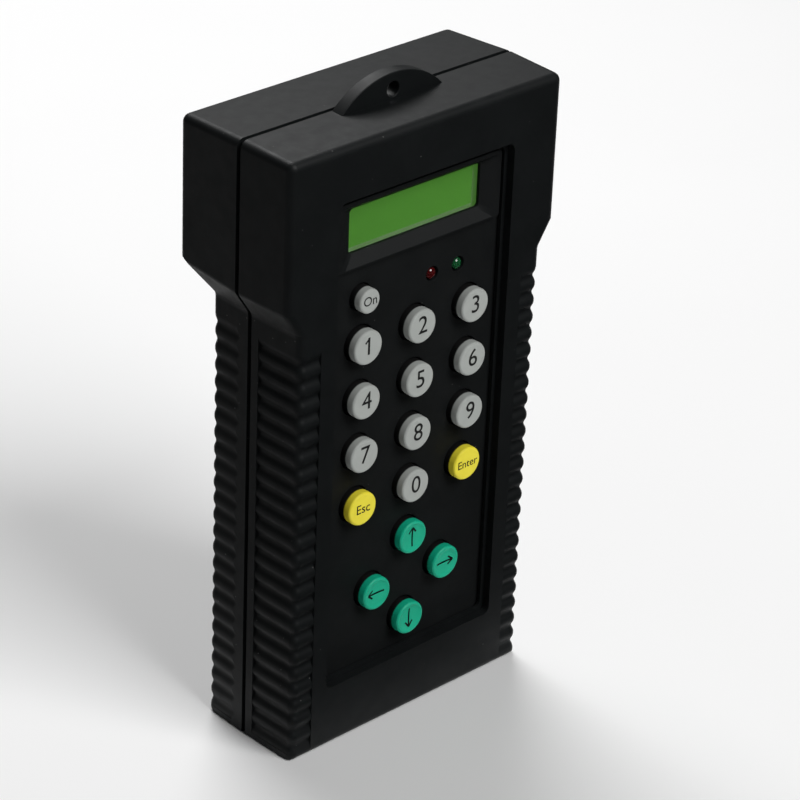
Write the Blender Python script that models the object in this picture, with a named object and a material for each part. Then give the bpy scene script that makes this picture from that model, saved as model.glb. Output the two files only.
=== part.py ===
"""Hand-held electronic game caller, as an assembly of separate pieces.

The caller stands upright on its bottom end.  X runs across the case, Y runs from
its front face to its back and Z runs up.  The origin is the middle of the bottom
end.  Sizes below are millimetres, and every mesh is turned into metres when its
object is made.  "Depth" always counts backwards from the front face.
"""
import math

import bmesh
import bpy

MM = 0.001

# ---- Case ---------------------------------------------------------------
HEAD_WIDTH = 75.9          # display end, at the parting plane
GRIP_WIDTH = 68.6          # keypad end, held in the hand, at the parting plane
CASE_HEIGHT = 141.4        # bottom end to the top face, without the hanging lug
HEAD_LOWER_Z = 107.9       # where the head starts to narrow
NECK_DROP = 5.6            # height of the sloped neck between head and grip
FRONT_SHELL_DEPTH = 15.3   # front face to the parting plane
HEAD_REAR_DEPTH = 19.0     # parting plane to the back of the head
GRIP_REAR_DEPTH = 12.4     # parting plane to the back of the grip
FRONT_DRAFT = math.tan(math.radians(1.2))
REAR_DRAFT = math.tan(math.radians(2.2))
CORNER_RADIUS = 1.8        # top corners of the case outline and edges of the back
FOOT_RADIUS = 0.5          # bottom corners of the front shell
NECK_RADIUS = 1.0
FRONT_EDGE_RADIUS = 1.8
EDGE_STEPS = 3             # facets round an edge of the case
WALL = 2.5
FRONT_WALL = 2.8
SEAM_GAP = 1.1             # width of the black groove round the parting plane
TONGUE_INSET = 1.3         # outer face of the front shell's tongue
TONGUE_LENGTH = 2.0        # how far the tongue reaches past the parting plane
CLEARANCE = 0.3            # between pieces that touch

# ---- Hanging lug --------------------------------------------------------
LUG_CHORD = 27.8
LUG_RISE = 5.8
LUG_THICKNESS = 3.1
LUG_HOLE_DIAMETER = 3.3
LUG_HOLE_RISE = 2.1        # hole centre above the top face

# ---- Ribbed grip --------------------------------------------------------
RIB_PITCH = 4.0
RIB_COUNT = 24
RIB_LOWEST_Z = 3.6         # first groove
RIB_GROOVE_DEPTH = 0.7
RIB_ZONE_DEPTH = 0.08      # rib tops below the plain case surface
RIB_WRAP = 5.6             # how far the ribs reach round onto the front and back
RIB_STRIP = 2.1            # plain strip beside the seam
RIB_STEPS = 4              # facets along one pitch

# ---- Front recess -------------------------------------------------------
RECESS_WIDTH = 48.7
RECESS_BOTTOM_Z = 14.8
RECESS_TOP_Z = 129.0
RECESS_DEPTH = 1.95
RECESS_RADIUS = 1.6
LEDGE_WIDTH = 0.95
PANEL_THICKNESS = 1.5
FLANGE_LAP = 2.0           # how far panel and bezel reach behind the front wall

# ---- Display ------------------------------------------------------------
BEZEL_BOTTOM_Z = 112.1
BEZEL_FRONT_DEPTH = 2.0
BEZEL_SIDE_GAP = 0.75      # to the ledge round the recess
BEZEL_RIM = 0.9
BEZEL_LOWER_RIM = 0.4
FUNNEL_DEPTH = 1.85
BEZEL_LIP = 0.75           # straight wall behind the funnel
WINDOW_WIDTH = 36.6
WINDOW_HEIGHT = 10.0
WINDOW_CENTRE_Z = 119.9
WINDOW_RADIUS = 0.8
LENS_THICKNESS = 0.6
GLASS_THICKNESS = 1.6
GLASS_MARGIN = 2.4         # glass beyond the visible window
DISPLAY_FRAME_WALL = 2.2
LIGHT_GUIDE_THICKNESS = 0.4

# ---- Keys ---------------------------------------------------------------
KEY_ROW_PITCH = 12.7
KEY_COLUMN_PITCH = 15.24
ARROW_OFFSET = 10.16
FIRST_ROW_Z = 94.15
POWER_KEY_OFFSET = 10.6    # from the first row up to the small power key
KEY_DIAMETER = 7.7
SMALL_KEY_DIAMETER = 5.5
KEY_RISE = 3.05            # above the panel
KEY_EDGE_RADIUS = 0.5
KEY_DISH = 0.5             # hollow in the arrow keys
KEY_HOLE_GAP = 0.3
KEY_FLANGE_LAP = 0.9
KEY_FLANGE_THICKNESS = 0.8
KEY_TRAVEL = 1.0
PLUNGER_DIAMETER = 4.0
KEY_MAT_THICKNESS = 1.0
MAT_HOLE_GAP = 0.5
ROUND_STEPS = 16

# ---- Board and lamps ----------------------------------------------------
BOARD_THICKNESS = 1.6
BOARD_SIDE_GAP = 2.6       # board edge to the case wall
BOARD_BOTTOM_Z = 14.5
BOARD_TOP_Z = 129.4
LAMP_DIAMETER = 2.8
LAMP_RISE = 0.3            # above the panel
LAMP_X = (5.0, 12.4)
LAMP_Z = 103.65
LAMP_FOOT = 0.8
CHIP_PLACES = (            # name, x, z, width, height, thickness
    ("controller_chip", -16.0, 98.0, 10.0, 10.0, 1.6),
    ("sound_memory_chip", 2.0, 98.0, 14.0, 8.0, 1.4),
    ("amplifier_chip", 19.0, 97.0, 5.0, 4.0, 1.4),
)
CAPACITOR_DIAMETER = 5.0
CAPACITOR_ENDS_X = (12.0, 23.0)
CAPACITOR_Z = 106.0

# ---- Battery bay --------------------------------------------------------
CELL_DIAMETER = 10.5
CELL_LENGTH = 44.5
CELL_NUB_DIAMETER = 3.8
CELL_NUB_LENGTH = 0.9
CELL_GAP = 0.9
CELL_COUNT = 4
BAY_BOTTOM_Z = 33.0
BAY_FLOOR_GAP = 2.6        # board to the floor of the bay
BAY_WALL = 1.2
CONTACT_THICKNESS = 0.4
CONTACT_SIZE = 8.0
SPRING_LENGTH = 5.6
SPRING_DIAMETER = 6.0
SPRING_WIRE = 0.7
SPRING_TURNS = 4
DOOR_THICKNESS = 1.8
DOOR_LAP = 1.8             # door beyond the bay, resting on its rim
DOOR_PIN_DIAMETER = 1.2
DOOR_PIN_LENGTH = 1.0
DOOR_NOTCH_WIDTH = 14.0
DOOR_NOTCH_HEIGHT = 3.4
DOOR_NOTCH_RISE = 0.6      # notch centre above the door's top edge
DOOR_GROOVE_COUNT = 5
DOOR_GROOVE_HEIGHT = 0.8
DOOR_GROOVE_DEPTH = 0.5
DOOR_GROOVE_PITCH = 1.8
DOOR_GROOVE_FIRST = 4.0    # first groove below the door's top edge

# ---- Loudspeaker --------------------------------------------------------
SPEAKER_DIAMETER = 28.0
SPEAKER_RIM_THICKNESS = 1.4
SPEAKER_RIM_WIDTH = 1.6
GASKET_WIDTH = 2.0
SPEAKER_BASKET_DEPTH = 4.2
MAGNET_DIAMETER = 15.0
MAGNET_DEPTH = 3.6
GASKET_THICKNESS = 0.8
GRILLE_DIAMETER = 23.0
GRILLE_SLOT = 1.5
GRILLE_PITCH = 3.1

# ---- Fasteners ----------------------------------------------------------
SCREW_X_HEAD = 30.8
SCREW_Z_HEAD = 134.0
SCREW_X_GRIP = 27.0
SCREW_Z_GRIP = 8.6
SCREW_HEAD_DIAMETER = 5.2
SCREW_HEAD_HEIGHT = 2.0
SCREW_SHANK_DIAMETER = 2.4
SCREW_LENGTH = 14.0
SCREW_SEAT_DEPTH = 21.5
SCREW_SLOT_WIDTH = 0.8
SCREW_SLOT_LENGTH = 3.2
SCREW_SLOT_DEPTH = 0.9
BOSS_DIAMETER = 6.8
BOSS_EXTRA = 1.6           # how much thicker the rear bosses are

# ---- Derived places, all as depth behind the front face ------------------
CASE_DEPTH = FRONT_SHELL_DEPTH + HEAD_REAR_DEPTH
GRIP_DEPTH = FRONT_SHELL_DEPTH + GRIP_REAR_DEPTH
NECK_Z = HEAD_LOWER_Z - NECK_DROP
FRONT_RIM = FRONT_SHELL_DEPTH - SEAM_GAP / 2
REAR_RIM = FRONT_SHELL_DEPTH + SEAM_GAP / 2
OPENING_WIDTH = RECESS_WIDTH - 2 * LEDGE_WIDTH
OPENING_BOTTOM_Z = RECESS_BOTTOM_Z + LEDGE_WIDTH
OPENING_TOP_Z = RECESS_TOP_Z - LEDGE_WIDTH
PANEL_FRONT = FRONT_WALL + CLEARANCE
PANEL_BACK = PANEL_FRONT + PANEL_THICKNESS
PANEL_WIDTH = OPENING_WIDTH + 2 * FLANGE_LAP
KEY_FLANGE_FRONT = PANEL_BACK + CLEARANCE
KEY_FLANGE_BACK = KEY_FLANGE_FRONT + KEY_FLANGE_THICKNESS
MAT_FRONT = KEY_FLANGE_BACK + KEY_TRAVEL + CLEARANCE
MAT_BACK = MAT_FRONT + KEY_MAT_THICKNESS
BOARD_FRONT = MAT_BACK + CLEARANCE
BOARD_BACK = BOARD_FRONT + BOARD_THICKNESS
PLUNGER_END = BOARD_FRONT - CLEARANCE - KEY_TRAVEL
BAY_FLOOR_FRONT = BOARD_BACK + BAY_FLOOR_GAP
BAY_FLOOR_BACK = BAY_FLOOR_FRONT + BAY_WALL
BAY_WIDTH = CELL_COUNT * CELL_DIAMETER + (CELL_COUNT + 1) * CELL_GAP
BAY_HEIGHT = CELL_LENGTH + SPRING_LENGTH + CONTACT_THICKNESS + 4 * CLEARANCE
BAY_TOP_Z = BAY_BOTTOM_Z + BAY_HEIGHT
CELL_DEPTH = BAY_FLOOR_BACK + CLEARANCE + CELL_DIAMETER / 2
DOOR_FRONT = GRIP_DEPTH - DOOR_THICKNESS
DOOR_BOTTOM_Z = BAY_BOTTOM_Z - DOOR_LAP
DOOR_TOP_Z = BAY_TOP_Z + DOOR_LAP
DOOR_WIDTH = BAY_WIDTH + 2 * DOOR_LAP
DOOR_AXIS_DEPTH = GRIP_DEPTH - DOOR_THICKNESS / 2
DOOR_AXIS_Z = DOOR_BOTTOM_Z + DOOR_THICKNESS / 2
BEZEL_WIDTH = OPENING_WIDTH - 2 * BEZEL_SIDE_GAP
BEZEL_TOP_Z = OPENING_TOP_Z - BEZEL_SIDE_GAP
BEZEL_BACK = BEZEL_FRONT_DEPTH + FUNNEL_DEPTH + BEZEL_LIP
LENS_FRONT = BEZEL_BACK + CLEARANCE
GLASS_FRONT = LENS_FRONT + LENS_THICKNESS + CLEARANCE
GLASS_WIDTH = WINDOW_WIDTH + 2 * GLASS_MARGIN
GLASS_HEIGHT = WINDOW_HEIGHT + 2 * GLASS_MARGIN
SPEAKER_BACK = CASE_DEPTH - WALL - CLEARANCE - GASKET_THICKNESS - CLEARANCE

BLACK = ("case_black", (0.012, 0.013, 0.014), 0.45, 0.0)
PANEL_BLACK = ("panel_black", (0.014, 0.015, 0.016), 0.55, 0.0)
KEY_GREY = ("key_grey", (0.30, 0.32, 0.30), 0.6, 0.0)
KEY_YELLOW = ("key_yellow", (0.70, 0.58, 0.03), 0.55, 0.0)
KEY_GREEN = ("key_green", (0.01, 0.30, 0.18), 0.55, 0.0)
RUBBER = ("rubber_mat", (0.05, 0.05, 0.055), 0.8, 0.0)
LENS = ("clear_lens", (0.85, 0.88, 0.86), 0.05, 0.0)
DISPLAY = ("display_green", (0.17, 0.35, 0.03), 0.35, 0.0)
GUIDE = ("light_guide", (0.75, 0.80, 0.65), 0.4, 0.0)
STEEL = ("steel", (0.55, 0.55, 0.56), 0.3, 1.0)
BOARD = ("board_green", (0.01, 0.10, 0.03), 0.5, 0.0)
CHIP = ("chip_black", (0.02, 0.02, 0.02), 0.5, 0.0)
RED_LAMP = ("lamp_red", (0.30, 0.01, 0.01), 0.15, 0.0)
GREEN_LAMP = ("lamp_green", (0.01, 0.12, 0.03), 0.15, 0.0)
CELL_WRAP = ("cell_wrap", (0.05, 0.10, 0.22), 0.35, 0.0)
PAPER = ("speaker_paper", (0.06, 0.055, 0.05), 0.9, 0.0)
FOAM = ("gasket_foam", (0.03, 0.03, 0.03), 0.95, 0.0)
CAPACITOR = ("capacitor_sleeve", (0.02, 0.03, 0.10), 0.35, 0.0)


# ---- Scene and material helpers ------------------------------------------
def clear_scene():
    for old in list(bpy.data.objects):
        bpy.data.objects.remove(old, do_unlink=True)


def material(finish):
    name, colour, roughness, metallic = finish
    found = bpy.data.materials.get(name)
    if found:
        return found
    made = bpy.data.materials.new(name)
    made.use_nodes = True
    shader = made.node_tree.nodes["Principled BSDF"]
    shader.inputs["Base Color"].default_value = (*colour, 1.0)
    shader.inputs["Roughness"].default_value = roughness
    shader.inputs["Metallic"].default_value = metallic
    return made


def make_object(name, shape, finish=None, place=(0.0, 0.0, 0.0), smooth=False):
    """Turn a bmesh in millimetres into an object placed at (x, depth, z)."""
    bmesh.ops.scale(shape, vec=(MM, MM, MM), verts=shape.verts)
    bmesh.ops.recalc_face_normals(shape, faces=shape.faces)
    mesh = bpy.data.meshes.new(name)
    shape.to_mesh(mesh)
    shape.free()
    if smooth:
        mesh.shade_smooth()
        mesh.set_sharp_from_angle(angle=math.radians(35))
    thing = bpy.data.objects.new(name, mesh)
    bpy.context.scene.collection.objects.link(thing)
    move_to(thing, place)
    if finish:
        mesh.materials.append(material(finish))
    return thing


def move_to(thing, place):
    x, depth, z = place
    thing.location = (x * MM, (depth - CASE_DEPTH / 2) * MM, z * MM)


def combine(target, shape, operation):
    """Join a bmesh to an object, or cut it out of the object, exactly."""
    other = make_object("tool", shape)
    step = target.modifiers.new("combine", "BOOLEAN")
    step.operation = operation
    step.object = other
    bpy.context.view_layer.update()
    graph = bpy.context.evaluated_depsgraph_get()
    result = bpy.data.meshes.new_from_object(target.evaluated_get(graph))
    target.modifiers.clear()
    old = target.data
    target.data = result
    bpy.data.meshes.remove(old)
    result.name = target.name
    bpy.data.objects.remove(other, do_unlink=True)


def join(target, *shapes):
    for shape in shapes:
        combine(target, shape, "UNION")


def cut(target, *shapes):
    for shape in shapes:
        combine(target, shape, "DIFFERENCE")


# ---- Shape helpers: every one returns a closed bmesh in millimetres --------
def loft(loops):
    """Skin a list of loops that have the same number of points."""
    shape = bmesh.new()
    rings = [[shape.verts.new(point) for point in loop] for loop in loops]
    count = len(loops[0])
    for low, high in zip(rings, rings[1:]):
        for i in range(count):
            j = (i + 1) % count
            shape.faces.new((low[i], low[j], high[j], high[i]))
    shape.faces.new(list(reversed(rings[0])))
    shape.faces.new(rings[-1])
    return shape


def prism(outline, front, back):
    """Extrude an (x, z) outline from one depth to another."""
    return loft([[(x, depth, z) for x, z in outline] for depth in (front, back)])


def box(x, depth, z):
    """A block between pairs of x, depth and z values."""
    outline = [(x[0], z[0]), (x[1], z[0]), (x[1], z[1]), (x[0], z[1])]
    return prism(outline, depth[0], depth[1])


def circle(diameter, steps=ROUND_STEPS, centre=(0.0, 0.0)):
    turn = 2 * math.pi / steps
    radius = diameter / 2
    return [(centre[0] + radius * math.cos(i * turn), centre[1] + radius * math.sin(i * turn))
            for i in range(steps)]


def rod(diameter, front, back, centre=(0.0, 0.0), steps=ROUND_STEPS):
    return prism(circle(diameter, steps, centre), front, back)


def turned(profile, steps=ROUND_STEPS):
    """Turn (radius, depth) points about the depth axis; both ends lie on the axis."""
    shape = bmesh.new()
    rings = []
    for radius, depth in profile:
        if radius == 0.0:
            rings.append([shape.verts.new((0.0, depth, 0.0))])
        else:
            rings.append([shape.verts.new((x, depth, z)) for x, z in circle(2 * radius, steps)])
    for near, far in zip(rings, rings[1:]):
        for i in range(steps):
            j = (i + 1) % steps
            corners = [near[i % len(near)], near[j % len(near)], far[j % len(far)], far[i % len(far)]]
            shape.faces.new(list(dict.fromkeys(corners)))
    return shape


def turned_ring(profile, steps=ROUND_STEPS):
    """Turn a closed (radius, depth) profile that stays off the axis."""
    shape = bmesh.new()
    rings = [[shape.verts.new((x, depth, z)) for x, z in circle(2 * radius, steps)]
             for radius, depth in profile]
    for near, far in zip(rings, rings[1:] + rings[:1]):
        for i in range(steps):
            j = (i + 1) % steps
            shape.faces.new((near[i], near[j], far[j], far[i]))
    return shape


def fillet(corners, radii, steps=4):
    """Round the corners of a polygon given anticlockwise as (x, z) points."""
    points = []
    count = len(corners)
    for i, (corner, radius) in enumerate(zip(corners, radii)):
        before = corners[i - 1]
        after = corners[(i + 1) % count]
        a = (before[0] - corner[0], before[1] - corner[1])
        b = (after[0] - corner[0], after[1] - corner[1])
        length_a = math.hypot(*a)
        length_b = math.hypot(*b)
        a = (a[0] / length_a, a[1] / length_a)
        b = (b[0] / length_b, b[1] / length_b)
        half = math.acos(max(-1.0, min(1.0, a[0] * b[0] + a[1] * b[1]))) / 2
        reach = radius / math.tan(half)
        middle = (a[0] + b[0], a[1] + b[1])
        scale = radius / math.sin(half) / math.hypot(*middle)
        centre = (corner[0] + middle[0] * scale, corner[1] + middle[1] * scale)
        start = (corner[0] + a[0] * reach - centre[0], corner[1] + a[1] * reach - centre[1])
        end = (corner[0] + b[0] * reach - centre[0], corner[1] + b[1] * reach - centre[1])
        begin = math.atan2(start[1], start[0])
        sweep = math.atan2(start[0] * end[1] - start[1] * end[0], start[0] * end[0] + start[1] * end[1])
        for k in range(steps + 1):
            angle = begin + sweep * k / steps
            points.append((centre[0] + radius * math.cos(angle), centre[1] + radius * math.sin(angle)))
    return points


def rectangle(width, low, high, radius=0.0, steps=4):
    corners = [(-width / 2, low), (width / 2, low), (width / 2, high), (-width / 2, high)]
    if radius == 0.0:
        return corners
    return fillet(corners, [radius] * 4, steps)


def case_outline(inset, rounded=True, foot=None):
    """Outline of the case seen from the front, moved inwards by inset.

    The bottom end moves inwards by foot instead when foot is given.
    """
    run = (HEAD_WIDTH - GRIP_WIDTH) / 2
    slant = math.hypot(run, NECK_DROP)
    lift = inset * (run / slant + (NECK_DROP / slant - 1) * NECK_DROP / run)
    half_grip = GRIP_WIDTH / 2 - inset
    half_head = HEAD_WIDTH / 2 - inset
    low = inset if foot is None else foot
    right = [(half_grip, low), (half_grip, NECK_Z + lift), (half_head, HEAD_LOWER_Z + lift),
             (half_head, CASE_HEIGHT - inset)]
    corners = right + [(-x, z) for x, z in reversed(right)]
    if not rounded:
        return corners
    radii = [max(radius - inset, 0.2) for radius in (FOOT_RADIUS, NECK_RADIUS, NECK_RADIUS, CORNER_RADIUS)]
    return fillet(corners, radii + radii[::-1], EDGE_STEPS)


def front_block():
    """Solid front half of the case, with its front edge rounded and its sides leaning inwards."""
    levels = []
    for k in range(EDGE_STEPS + 1):
        angle = math.pi / 2 * k / EDGE_STEPS
        levels.append((FRONT_EDGE_RADIUS * (1 - math.cos(angle)), FRONT_EDGE_RADIUS * (1 - math.sin(angle))))
    levels.append((FRONT_RIM, 0.0))
    loops = []
    for depth, inset in levels:
        outline = case_outline(inset + FRONT_DRAFT * (FRONT_SHELL_DEPTH - depth), foot=inset)
        loops.append([(x, depth, z) for x, z in outline])
    return loft(loops)


def rear_levels(inset, depth_inset, front):
    """Corner points of the rear half at four heights: each (half width, depth, z) pair."""
    outline = case_outline(inset, rounded=False)[:4]
    head = HEAD_REAR_DEPTH - depth_inset
    grip = GRIP_REAR_DEPTH - depth_inset
    lean = FRONT_SHELL_DEPTH - front
    levels = []
    for (half, z), reach, rise in zip(outline, (grip, grip, head, head), (0, 0, 1, -1)):
        pull = REAR_DRAFT * (reach + lean)
        levels.append(((half, front, z), (half - pull, FRONT_SHELL_DEPTH + reach, z + rise * pull)))
    return levels


def speaker_height():
    """Middle of the head's inside, at its back."""
    lower, upper = rear_levels(WALL, WALL, REAR_RIM)[2:]
    return (lower[1][2] + upper[1][2]) / 2


def rear_block(inset, depth_inset, front):
    """Solid rear half: head, neck and grip, leaning inwards towards the back."""
    loops = []
    for (near, far) in rear_levels(inset, depth_inset, front):
        loops.append([(near[0], near[1], near[2]), (far[0], far[1], far[2]),
                      (-far[0], far[1], far[2]), (-near[0], near[1], near[2])])
    shape = loft(loops)
    bmesh.ops.recalc_face_normals(shape, faces=shape.faces)
    return shape


def rear_outer():
    shape = rear_block(0.0, 0.0, REAR_RIM)

    def on_rim(vert):
        return abs(vert.co.y - REAR_RIM) < 1e-4

    def rounded(edge):
        one, two = edge.verts
        if on_rim(one) and on_rim(two):
            return False
        level = abs(one.co.z - two.co.z) < 1.5
        across_neck = NECK_Z - 1 < one.co.z < HEAD_LOWER_Z + 1
        foot_corner = one.co.z < 1.0 and two.co.z < 1.0 and abs(one.co.y - two.co.y) > 1.0
        return not (level and across_neck or foot_corner)

    edges = [edge for edge in shape.edges if rounded(edge)]
    bmesh.ops.bevel(shape, geom=edges, offset=CORNER_RADIUS, segments=EDGE_STEPS, profile=0.5,
                    affect="EDGES", clamp_overlap=True)
    return shape


def rib_cut(depth, groove_z):
    """How deep the rib surface lies under the case surface at a height."""
    phase = (groove_z - RIB_LOWEST_Z) / RIB_PITCH
    return RIB_ZONE_DEPTH + depth * (0.5 + 0.5 * math.cos(2 * math.pi * phase))


def rib_cutter(path, side):
    """Corrugated cutter for one side.  path holds (x, depth, outward x, outward depth)."""
    rows = RIB_COUNT * RIB_STEPS
    shape = bmesh.new()
    inner = []
    outer = []
    for row in range(rows + 1):
        z = RIB_LOWEST_Z + RIB_PITCH * (row / RIB_STEPS - 0.5)
        sunk = rib_cut(RIB_GROOVE_DEPTH, z)
        inner.append([shape.verts.new((side * (x - sunk * nx), y - sunk * ny, z)) for x, y, nx, ny in path])
        outer.append([shape.verts.new((side * (x + nx), y + ny, z)) for x, y, nx, ny in path])
    last = len(path) - 1
    for row in range(rows):
        for grid in (inner, outer):
            for i in range(last):
                shape.faces.new((grid[row][i], grid[row][i + 1], grid[row + 1][i + 1], grid[row + 1][i]))
        for i in (0, last):
            shape.faces.new((inner[row][i], outer[row][i], outer[row + 1][i], inner[row + 1][i]))
    for row in (0, rows):
        shape.faces.new(inner[row] + list(reversed(outer[row])))
    return shape


def corner_path(near, corner, far, radius):
    """Path along one wall, round a corner and along the next, with outward normals."""
    first = (corner[0] - near[0], corner[1] - near[1])
    second = (far[0] - corner[0], far[1] - corner[1])
    length = math.hypot(*first)
    first = (first[0] / length, first[1] / length)
    length = math.hypot(*second)
    second = (second[0] / length, second[1] / length)
    turn = math.copysign(1.0, first[0] * second[1] - first[1] * second[0])
    normals = [(turn * d[1], -turn * d[0]) for d in (first, second)]
    sweep = math.acos(first[0] * second[0] + first[1] * second[1])
    reach = radius * math.tan(sweep / 2)
    start = (corner[0] - first[0] * reach, corner[1] - first[1] * reach)
    centre = (start[0] - normals[0][0] * radius, start[1] - normals[0][1] * radius)
    path = [(near[0], near[1], *normals[0])]
    begin = math.atan2(normals[0][1], normals[0][0])
    for k in range(EDGE_STEPS + 1):
        angle = begin + turn * sweep * k / EDGE_STEPS
        nx = math.cos(angle)
        ny = math.sin(angle)
        path.append((centre[0] + nx * radius, centre[1] + ny * radius, nx, ny))
    path.append((far[0], far[1], *normals[1]))
    return path


def screw_places():
    return [(x * side, z) for x, z in ((SCREW_X_HEAD, SCREW_Z_HEAD), (SCREW_X_GRIP, SCREW_Z_GRIP))
            for side in (-1, 1)]


# ---- Shells -------------------------------------------------------------
def hanging_lug():
    half = LUG_CHORD / 2
    radius = (half ** 2 + LUG_RISE ** 2) / (2 * LUG_RISE)
    centre_z = CASE_HEIGHT + LUG_RISE - radius
    sweep = math.asin(half / radius)
    steps = 20
    arc = []
    for k in range(steps + 1):
        angle = sweep * (1 - 2 * k / steps)
        arc.append((radius * math.sin(angle), centre_z + radius * math.cos(angle)))
    foot = CASE_HEIGHT - WALL / 2
    return prism([(-half, foot), (half, foot)] + arc, FRONT_RIM - LUG_THICKNESS, FRONT_RIM)


def build_front_shell():
    shell = make_object("front_shell", front_block(), BLACK)
    tongue = prism(case_outline(TONGUE_INSET), FRONT_RIM - 2.0, FRONT_SHELL_DEPTH + TONGUE_LENGTH)
    join(shell, tongue)
    cut(shell, prism(case_outline(WALL), FRONT_WALL, FRONT_SHELL_DEPTH + TONGUE_LENGTH + 1.0))
    join(shell, hanging_lug())
    hole_z = CASE_HEIGHT + LUG_HOLE_RISE
    cut(shell, rod(LUG_HOLE_DIAMETER, FRONT_RIM - LUG_THICKNESS - 1.0, FRONT_RIM + 1.0, (0.0, hole_z)))
    cut(shell,
        prism(rectangle(RECESS_WIDTH, RECESS_BOTTOM_Z, RECESS_TOP_Z, RECESS_RADIUS), -1.0, RECESS_DEPTH),
        prism(rectangle(OPENING_WIDTH, OPENING_BOTTOM_Z, OPENING_TOP_Z, RECESS_RADIUS), 1.0, FRONT_WALL + 1.0))
    for x, z in screw_places():
        join(shell, rod(BOSS_DIAMETER, FRONT_WALL - 0.5, REAR_RIM - CLEARANCE, (x, z), 16))
        cut(shell, rod(SCREW_SHANK_DIAMETER + 2 * CLEARANCE, SCREW_SEAT_DEPTH - SCREW_LENGTH - 0.6,
                       REAR_RIM + 1.0, (x, z), 12))
    half = GRIP_WIDTH / 2
    front_half = half - FRONT_DRAFT * FRONT_SHELL_DEPTH
    start = FRONT_RIM - RIB_STRIP
    path = corner_path((front_half + FRONT_DRAFT * start, start), (front_half, 0.0), (front_half - RIB_WRAP, 0.0),
                       FRONT_EDGE_RADIUS)
    for side in (-1, 1):
        cut(shell, rib_cutter(path, side))
    return shell


def bay_solids():
    outer = box((-BAY_WIDTH / 2 - BAY_WALL, BAY_WIDTH / 2 + BAY_WALL), (BAY_FLOOR_FRONT, GRIP_DEPTH - 1.0),
                (BAY_BOTTOM_Z - BAY_WALL, BAY_TOP_Z + BAY_WALL))
    inner = box((-BAY_WIDTH / 2, BAY_WIDTH / 2), (BAY_FLOOR_BACK, GRIP_DEPTH + 1.0), (BAY_BOTTOM_Z, BAY_TOP_Z))
    return outer, inner


def door_seat():
    """Pocket that the battery door lies in."""
    gap = CLEARANCE
    outline = rectangle(DOOR_WIDTH + 2 * gap, DOOR_BOTTOM_Z - gap, DOOR_TOP_Z + gap)
    return prism(outline, DOOR_FRONT - gap, GRIP_DEPTH + 1.0)


def along_x(diameter, low, high, depth, z, steps=12):
    """A rod that runs across the case."""
    ring = circle(diameter, steps, (depth, z))
    return loft([[(x, ring_depth, ring_z) for ring_depth, ring_z in ring] for x in (low, high)])


def slot(width, height, front, back, centre):
    """A slot with round ends that runs across the case."""
    x, z = centre
    outline = fillet([(x - width / 2, z - height / 2), (x + width / 2, z - height / 2),
                      (x + width / 2, z + height / 2), (x - width / 2, z + height / 2)],
                     [height / 2 - 0.01] * 4, 3)
    return prism(outline, front, back)


def grille_slots():
    """Round pattern of slots in front of the loudspeaker."""
    rows = int(GRILLE_DIAMETER / 2 / GRILLE_PITCH)
    middle = speaker_height()
    slots = []
    for row in range(-rows, rows + 1):
        lift = row * GRILLE_PITCH
        width = 2 * math.sqrt((GRILLE_DIAMETER / 2) ** 2 - lift ** 2)
        slots.append(slot(width, GRILLE_SLOT, CASE_DEPTH - WALL - 1.0, CASE_DEPTH + 1.0,
                          (0.0, middle + lift)))
    return slots


def build_rear_shell():
    shell = make_object("rear_shell", rear_outer(), BLACK)
    cut(shell, rear_block(WALL, WALL, REAR_RIM - 1.0),
        prism(case_outline(TONGUE_INSET - CLEARANCE), REAR_RIM - 1.0,
              FRONT_SHELL_DEPTH + TONGUE_LENGTH + CLEARANCE))
    outer, inner = bay_solids()
    join(shell, outer)
    cut(shell, inner, door_seat())
    pin_reach = DOOR_WIDTH / 2 + DOOR_PIN_LENGTH + 2 * CLEARANCE
    cut(shell, along_x(DOOR_PIN_DIAMETER + 2 * CLEARANCE, -pin_reach, pin_reach, DOOR_AXIS_DEPTH, DOOR_AXIS_Z))
    cut(shell, slot(DOOR_NOTCH_WIDTH, DOOR_NOTCH_HEIGHT, GRIP_DEPTH - 1.0, GRIP_DEPTH + 1.0,
                    (0.0, DOOR_TOP_Z + DOOR_NOTCH_RISE)))
    for x, z in screw_places():
        back = CASE_DEPTH - 1.0 if z > HEAD_LOWER_Z else GRIP_DEPTH - 1.0
        join(shell, rod(BOSS_DIAMETER + BOSS_EXTRA, REAR_RIM + CLEARANCE, back, (x, z), 16))
        cut(shell, rod(SCREW_SHANK_DIAMETER + 2 * CLEARANCE, REAR_RIM - 1.0, CASE_DEPTH, (x, z), 12),
            rod(SCREW_HEAD_DIAMETER + 4 * CLEARANCE, SCREW_SEAT_DEPTH, CASE_DEPTH + 1.0, (x, z), 20))
    cut(shell, *grille_slots())
    half = GRIP_WIDTH / 2
    lean = REAR_DRAFT * GRIP_REAR_DEPTH
    start = REAR_RIM + RIB_STRIP
    near = (half - REAR_DRAFT * (start - FRONT_SHELL_DEPTH), start)
    corner = (half - lean, GRIP_DEPTH)
    path = corner_path(near, corner, (half - lean - RIB_WRAP, GRIP_DEPTH), CORNER_RADIUS)
    for side in (-1, 1):
        cut(shell, rib_cutter(path, side))
    return shell


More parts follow.
